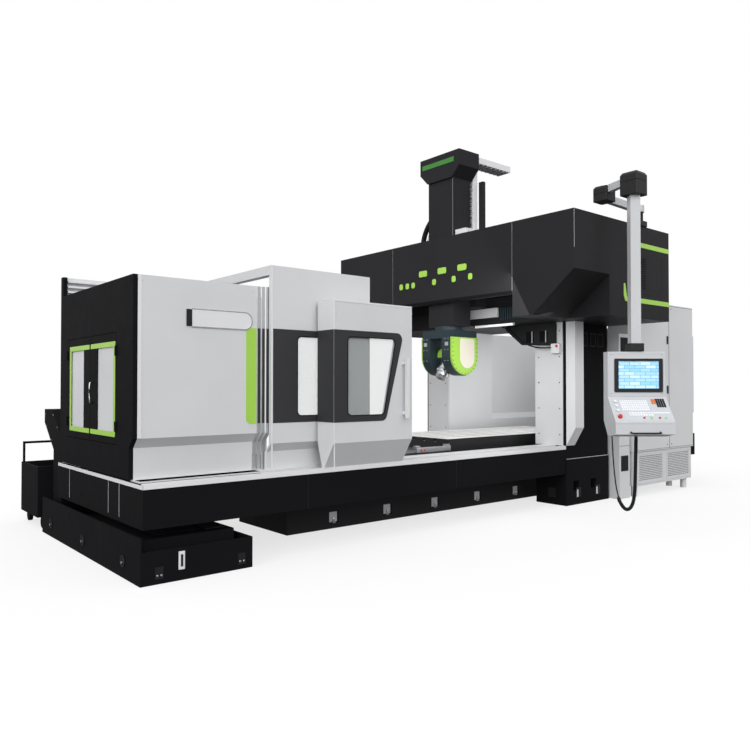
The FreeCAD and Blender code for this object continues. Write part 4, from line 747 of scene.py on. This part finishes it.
for index, turn_angle in enumerate(turns, 1):
    spoke = np.cos(turn_angle) * across_nose + np.sin(turn_angle) * np.array([0, 1, 0])
    foot = tilt_middle + nose_way * 0.252 + spoke * 0.093
    spun(
        f"nose_screw_{index}", [(0.009, -0.014), (0.009, 0.014)], foot, nose_way, drawn_alloy, "tilt",
        slot="steel", sides=10
    )

# Cabinet, its base and the oil chiller: door seams, latches, screws, punched grilles and louvres
front = -1.567
blocks(
    "cabinet_seams", [(3.153, front - 0.0012, 1.748), (2.235, front - 0.0012, 1.748)], (0.005, 0.002, 2.16),
    dark_plastic
)
blocks(
    "cabinet_rims", [(3.058, front - 0.001, z) for z in (0.672, 2.822)], (1.66, 0.0016, 0.004), dark_plastic
)
studs(
    "cabinet_screws", [(x, front, z) for x in (3.09, 3.22) for z in (0.72, 2.78)], -2, 0.009, 0.004,
    dark_plastic
)
blocks(
    "cabinet_latches", [(3.1, front - 0.008, 1.55), (3.1, front - 0.008, 2.3)], (0.03, 0.015, 0.12),
    dark_plastic, bevel=0.004
)
blocks("cabinet_side_box", (3.912, -1.45, 0.86), (0.022, 0.16, 0.4), white_powder, bevel=0.004)
base = -1.542
for index, middle in enumerate((2.64, 3.46), 1):
    outer = rounded((middle - 0.36, 0.19), (middle + 0.36, 0.62), 0.02)
    inner = rounded((middle - 0.345, 0.205), (middle + 0.345, 0.605), 0.015)
    bezel(f"base_frame_{index}", outer, inner, 1, base - 0.005, base - LIFT, white_powder)
    column, row = np.meshgrid(np.arange(-0.31, 0.32, 0.026), np.arange(0.24, 0.58, 0.026))
    shift = (np.arange(row.shape[0]) % 2)[:, None] * 0.013
    holes = np.stack([middle + column + shift, np.full(column.shape, base), row], -1).reshape(-1, 3)
    studs(f"base_holes_{index}", holes, -2, 0.0078, 0.0012, dark_plastic, sides=6, dome=0.9)
blocks(
    "chiller_grilles", [(2.04, -1.4815, z) for z in (2.19, 1.88, 0.5)], (0.19, 0.003, 0.22), dark_plastic,
    bevel=0.001
)
rows = [(2.04, -1.485, z + k * 0.022) for z in (2.19, 1.88, 0.5) for k in range(-4, 5)]
blocks("chiller_louvres", rows, (0.18, 0.006, 0.01), charcoal_enamel, bevel=0.002)
blocks("chiller_seams", [(2.04, -1.4812, z) for z in (0.75, 1.7, 2.04)], (0.262, 0.002, 0.005), dark_plastic)

# Chip side: slots and lid of the filter box; seams, ports, gauge and bolts of the tank; conveyor screws
tank_left = -4.978
tank_front = -1.426
lid_rows = [(x, -1.02, 0.3335) for x in np.arange(-4.72, -4.3, 0.028)]
blocks("filter_slots", lid_rows, (0.012, 0.2, 0.004), dark_plastic)
blocks("filter_lid", (-4.18, -0.95, 0.334), (0.2, 0.42, 0.006), charcoal_enamel, bevel=0.002)
blocks("tank_seams", [(tank_left - 0.001, y, 0.19) for y in (-0.5, 0.45)], (0.002, 0.004, 0.36), dark_plastic)
for index, y in enumerate((-1.05, 0.0, 1.05), 1):
    ring = [(0.046, 0.0), (0.05, 0.004), (0.05, 0.008), (0.038, 0.008), (0.034, 0.002)]
    spun(f"tank_port_{index}", ring, (tank_left, y, 0.14), (-1, 0, 0), charcoal_enamel, sides=28)
    studs(
        f"tank_port_bolt_{index}", (tank_left - 0.002, y + 0.012, 0.125), -1, 0.012, 0.012, bright_steel,
        sides=6, dome=0.9
    )
blocks("tank_gauge", (-4.63, tank_front - 0.006, 0.165), (0.055, 0.012, 0.15), edge_white, bevel=0.004)
blocks("tank_gauge_glass", (-4.63, tank_front - 0.0125, 0.165), (0.02, 0.002, 0.1), dark_plastic)
for name, x in (("left", -4.82), ("right", -4.07)):
    blocks(f"tank_slot_{name}", (x, tank_front - 0.0012, 0.09), (0.07, 0.002, 0.1), dark_plastic)
studs(
    "tank_feet_bolts", [(x + k, tank_front - 0.002, 0.07) for x in (-4.82, -4.07) for k in (-0.018, 0.018)],
    -2, 0.01, 0.008, bright_steel, sides=6, dome=0.9
)
blocks(
    "pan_end_seams", [(side - 0.0012, y, 0.61) for y in (-0.79, -0.52, 0.62)], (0.002, 0.004, 0.29),
    shade_powder
)
spots = [(1.36, 1.28), (1.66, 1.28), (1.2, 1.15), (1.61, 1.15), (1.08, 1.0), (1.42, 1.0)]
studs("conveyor_screws", [(-4.88, y, z) for y, z in spots], -1, 0.008, 0.004, bright_steel)
studs(
    "conveyor_screws_side", [(x, 1.04, z) for x in (-4.84, -4.49) for z in (0.7, 0.85, 1.0)], -2, 0.008,
    0.004, bright_steel
)

# Arm: black castings at the post, the elbow and the hanger
for name, (x, y), start, end_z, body, half in (
    ("post", (1.268, -2.15), 3.652, 3.72, "frame", 0.085),
    ("elbow_low", (0.44, -2.18), 3.832, 3.9245, "arm_inner", 0.098),
    ("elbow_high", (0.44, -2.18), 3.9265, 4.0175, "arm_outer", 0.098),
    ("hanger_low", (0.24, -2.68), 3.77, 3.9245, "pendant", 0.112),
    ("hanger_high", (0.24, -2.68), 3.9265, 4.03, "arm_outer", 0.112),
):
    ring = rounded((x - half, y - half), (x + half, y + half), 0.02)
    scale = np.array([1.0, 1.0, 0.82]) if name.endswith("high") else np.ones(3)
    middle = np.array([x, y])
    rings = middle + (ring - middle)[None] * scale[:, None, None]
    points, faces = carried(rings, 2, [start, start + (end_z - start) * 0.7, end_z])
    finish_mesh(f"casting_{name}", points, faces, dark_plastic, body, bevel=0.003)

# Pendant: everything is drawn in the panel's own frame, then turned and moved to the hanger
turned = Matrix.Translation((0.24, -2.68, 0)) @ Matrix.Rotation(math.radians(-40), 4, "Z")
slope_top = Vector((0, -0.06, 1.48))
slope = Matrix(((1, 0, 0), (0, 0.7003, -0.7138), (0, 0.7138, 0.7003))).to_4x4()
desk = turned @ Matrix.Translation(slope_top) @ slope


def placed(matrix, kind, *spec, **more):
    """A piece of the pendant: made by one of the functions above, then moved by a matrix."""
    kind(*spec, "pendant", **more).data.transform(matrix)


def key_grid(columns, rows, high):
    """Middles of keys that stand in straight columns and rows."""
    column, row = np.meshgrid(columns, rows)
    return np.stack([column, row, np.full(column.shape, high)], -1).reshape(-1, 3)


glass = rounded((-0.206, 1.574), (0.25, 1.883), 0.006)
outer = rounded((-0.25, 1.534), (0.292, 1.912), 0.012)
placed(turned, bezel, "screen_bezel", outer, glass, 1, -0.072, -0.0602, dark_plastic)
placed(turned, slab, "screen_glass", glass, 1, -0.064, -0.0602, screen_glow)
rim_out = rounded((-0.318, 1.49), (0.318, 1.984), 0.012)
placed(
    turned, bezel, "panel_rim", rim_out, rounded((-0.3, 1.508), (0.3, 1.966), 0.01), 1, -0.064, -0.0602,
    pendant_paint
)
placed(
    turned, studs, "panel_screws", [(x, -0.06, z) for x in (-0.285, 0.285) for z in (1.52, 1.955)], -2, 0.006,
    0.005, bright_steel
)
placed(desk, slab, "desk_film", rounded((-0.3, -0.35), (0.3, -0.02), 0.01), 2, LIFT, 0.002, desk_film)
keys = key_grid(np.arange(-0.2, 0.1, 0.0235), np.arange(-0.2, -0.05, 0.0265), 0.004)
placed(desk, blocks, "desk_keys", keys, (0.018, 0.02, 0.005), key_plastic)
keys = key_grid(np.arange(0.2, 0.28, 0.026), np.arange(-0.15, -0.04, 0.026), 0.005)
placed(desk, blocks, "number_keys", keys, (0.02, 0.02, 0.007), dark_plastic)
keys = [(0.15 + 0.026 * (k % 2), -0.05 - 0.026 * (k // 2), 0.005) for k in range(6)]
placed(desk, blocks, "orange_keys", keys, (0.02, 0.02, 0.007), orange_plastic)
keys = [(x, -0.25, 0.005) for x in np.arange(-0.14, 0.29, 0.03)]
keys += [(x, -0.28, 0.005) for x in np.arange(-0.14, 0.12, 0.03)]
placed(desk, blocks, "soft_keys", keys, (0.024, 0.018, 0.006), key_plastic)
placed(
    desk, studs, "desk_knobs", [(-0.265, y, 0.002) for y in (-0.08, -0.15, -0.22)], 3, 0.018, 0.022,
    edge_white, sides=18
)
placed(desk, studs, "stop_button", [(-0.262, -0.305, 0.002)], 3, 0.024, 0.03, red_plastic, sides=20)
placed(
    desk, studs, "red_buttons", [(x, -0.32, 0.002) for x in (0.0, 0.17)], 3, 0.011, 0.012, red_plastic,
    sides=14
)
placed(
    desk, studs, "green_buttons", [(x, -0.32, 0.002) for x in (0.08, 0.235)], 3, 0.011, 0.012, leaf_green,
    sides=14
)
grip = [
    (-0.16, -0.3205, 1.1), (-0.16, -0.35, 1.092), (-0.145, -0.358, 1.09), (0.145, -0.358, 1.09),
    (0.16, -0.35, 1.092), (0.16, -0.3205, 1.1)
]
placed(turned, tube, "desk_grip", grip, 0.009, dark_plastic, sides=12)
placed(turned, blocks, "desk_edge", (0, -0.3212, 1.2), (0.62, 0.002, 0.012), drawn_alloy, bevel=0.0005)
placed(turned, blocks, "pendant_neck", (0, 0, 2.04), (0.166, 0.166, 0.092), dark_plastic, bevel=0.01)
placed(turned, blocks, "rear_case", (0.3262, 0.01, 1.73), (0.002, 0.11, 0.46), cover_steel, bevel=0.0005)


def route(points):
    """Route points from the pendant's own frame in millimetres to the model's frame in metres."""
    return [turned @ (Vector(point) * MM) for point in points]


def along(points, steps=40):
    """Points on the clamped quadratic B-spline of a route: Bezier arcs between the middles of its legs."""
    points = np.array([tuple(p) for p in points])
    middles = (points[1:-2] + points[2:-1]) / 2
    starts = np.vstack([points[:1], middles])
    ends = np.vstack([middles, points[-1:]])
    t = np.linspace(0, 1, steps, endpoint=False)[None, :, None]
    arcs = starts[:, None] * (1 - t) ** 2 + 2 * points[1:-1, None] * t * (1 - t) + ends[:, None] * t**2
    return np.vstack([arcs.reshape(-1, 3), points[-1:]])


def cable(name, node, points, radius):
    """A free cord: a NURBS curve of the part's own route."""
    curve = bpy.data.curves.new(name, "CURVE")
    curve.dimensions = "3D"
    curve.bevel_depth = radius
    curve.bevel_resolution = 4
    curve.resolution_u = 24
    curve.render_resolution_u = 24
    spline = curve.splines.new("NURBS")
    spline.points.add(len(points) - 1)
    for point, place in zip(spline.points, points):
        point.co = (*place, 1)
    spline.order_u = 3
    spline.use_endpoint_u = True
    piece = new_object(name, curve)
    curve.materials.append(rubber_sheath)
    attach(piece, "pendant")
    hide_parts(node)
    return piece


# Radius of the plain cord and of the coil over its turns, and the length of one turn
CORD_RADIUS, COIL_RADIUS, COIL_PITCH = 0.007, 0.0185, 0.012
cord_route = route(
    [
        (-300, -120, 1040), (-293, -116, 930), (-285, -112, 780), (-268, -108, 600), (-246, -104, 440),
        (-214.5, -100, 322)
    ]
)
coil_route = route(
    [
        (-26, -104, 1038), (-30, -101, 820), (-34, -99, 620), (-40, -98, 420), (-62, -98, 280),
        (-112, -98, 215), (-172, -98, 238), (-214, -100, 320)
    ]
)
joint_way = np.array(tuple(cord_route[-1] - cord_route[-2]))
joint = spun(
    "cable_joint", [(0.01, -0.045), (0.0195, -0.03), (0.0205, 0.0), (0.0205, 0.012)], tuple(cord_route[-1]),
    joint_way, dark_plastic, "pendant", sides=20
)
middle_line = along(coil_route, 60)
run = np.concatenate([[0], np.cumsum(np.linalg.norm(np.diff(middle_line, axis=0), axis=1))])
stops = np.linspace(0.02, run[-1] - 0.03, 1400)
centre = np.stack([np.interp(stops, run, middle_line[:, k]) for k in range(3)], -1)
heading = np.gradient(centre, axis=0)
heading /= np.linalg.norm(heading, axis=1)[:, None]
flat = np.array(tuple(turned.to_3x3() @ Vector((0, 1, 0))))
side_way = np.cross(heading, flat)
side_way /= np.linalg.norm(side_way, axis=1)[:, None]
phase = stops / COIL_PITCH * 2 * np.pi
helix = centre + 0.0165 * (
    np.cos(phase)[:, None] * side_way + np.sin(phase)[:, None] * np.cross(side_way, heading)
)
turns_piece = tube("coil_turns", helix, 0.0042, rubber_sheath, "pendant", sides=6)
cable("plain_cord", "handwheel_cord", cord_route, CORD_RADIUS)
cable("coiled_cord", "handwheel_coil", coil_route, COIL_RADIUS)

# White surroundings for the camera, soft light for the surfaces, and the photo's own view
world = bpy.data.worlds.new("white_room")
bpy.context.scene.world = world
world.use_nodes = True
sky = world.node_tree
sky.nodes.clear()
ray = node_in(sky, "LightPath").node.outputs
paths = {0: ray["Is Camera Ray"], 1: ray["Is Transmission Ray"]}
seen = node_in(sky, "Math", paths, operation="MAXIMUM")
white = node_in(sky, "Background", {"Color": (1, 1, 1, 1), "Strength": 1.0})
aim = node_in(sky, "TexCoord", out="Generated")
rise = node_in(sky, "SeparateXYZ", {"Vector": aim}, out="Z")
span = {"Value": rise, "From Min": -0.6, "From Max": 0.6, "To Min": 0.08, "To Max": 0.95}
glow = node_in(sky, "MapRange", span)
soft = node_in(sky, "Background", {"Color": (1, 1, 1, 1), "Strength": glow})
both = node_in(sky, "MixShader", {0: seen, 1: soft, 2: white})
node_in(sky, "OutputWorld", {"Surface": both})


def pale_floor():
    """Pale floor: white to the camera with a faint soft shadow near the machine, and dim to other rays."""
    material, tree, shader, place = surface("pale_studio_floor", 0.9, Specular_IOR_Level=0.0)
    shader.inputs["Base Color"].default_value = linear("#f3f3f3")
    reach = node_in(tree, "VectorMath", {0: place}, operation="LENGTH", out="Value")
    range_ends = {"Value": reach, "From Min": 5.5, "From Max": 12.0, "To Min": 0.72, "To Max": 1.0}
    fade = node_in(tree, "MapRange", range_ends)
    plain = node_in(tree, "Emission", {"Color": (1, 1, 1, 1), "Strength": 1.0})
    seen = node_in(tree, "MixShader", {0: fade, 1: shader.outputs[0], 2: plain})
    dim = node_in(tree, "Emission", {"Color": (1, 1, 1, 1), "Strength": 0.2})
    direct = node_in(tree, "LightPath", out="Is Camera Ray")
    both = node_in(tree, "MixShader", {0: direct, 1: dim, 2: seen})
    output = next(node for node in tree.nodes if node.type == "OUTPUT_MATERIAL")
    tree.links.new(both, output.inputs["Surface"])
    return material


FLOOR_HALF, FLOOR_HIGH = 45.0, -0.001
floor_mesh = bpy.data.meshes.new("floor")
corners = [(x * FLOOR_HALF, y * FLOOR_HALF, FLOOR_HIGH) for x, y in ((-1, -1), (1, -1), (1, 1), (-1, 1))]
floor_mesh.from_pydata(corners, [], [(0, 1, 2, 3)])
floor_mesh.materials.append(pale_floor())
floor = new_object("floor", floor_mesh)


def lamp(name, kind, energy, direction, place=(0, 0, 0), **shape):
    """A light that shines along a direction from a place, and is as soft as its shape is wide."""
    data = bpy.data.lights.new(name, kind)
    data.energy = energy
    for key, value in shape.items():
        setattr(data, key, value)
    made = new_object(name, data)
    made.location = place
    made.rotation_euler = Vector(direction).to_track_quat("-Z", "Y").to_euler()


lamp("key_light", "SUN", 1.15, (0.2, 0.87, -0.42), angle=math.radians(45))
lamp("fill_light", "SUN", 1.7, (0.92, 0.25, -0.25), angle=math.radians(60))
lamp("work_light", "AREA", 20, (0.35, 0.9, -0.5), (-0.7, -1.5, 2.3), size=1.6)
lamp("wall_light", "AREA", 13, (-0.05, 1.0, -0.12), (1.35, -0.6, 1.85), size=1.0)

camera_data = bpy.data.cameras.new("photo_view")
camera_data.lens = 33.744
camera = new_object("photo_view", camera_data)
camera.location = (-7.13, -6.93, 1.6)
yaw, pitch = math.radians(39.76), math.radians(0.92)
gaze = Vector((math.sin(yaw) * math.cos(pitch), math.cos(yaw) * math.cos(pitch), math.sin(pitch)))
camera.rotation_euler = gaze.to_track_quat("-Z", "Y").to_euler()
camera_data.clip_end = 200
bpy.context.scene.camera = camera
bpy.context.scene.view_settings.view_transform = "Standard"
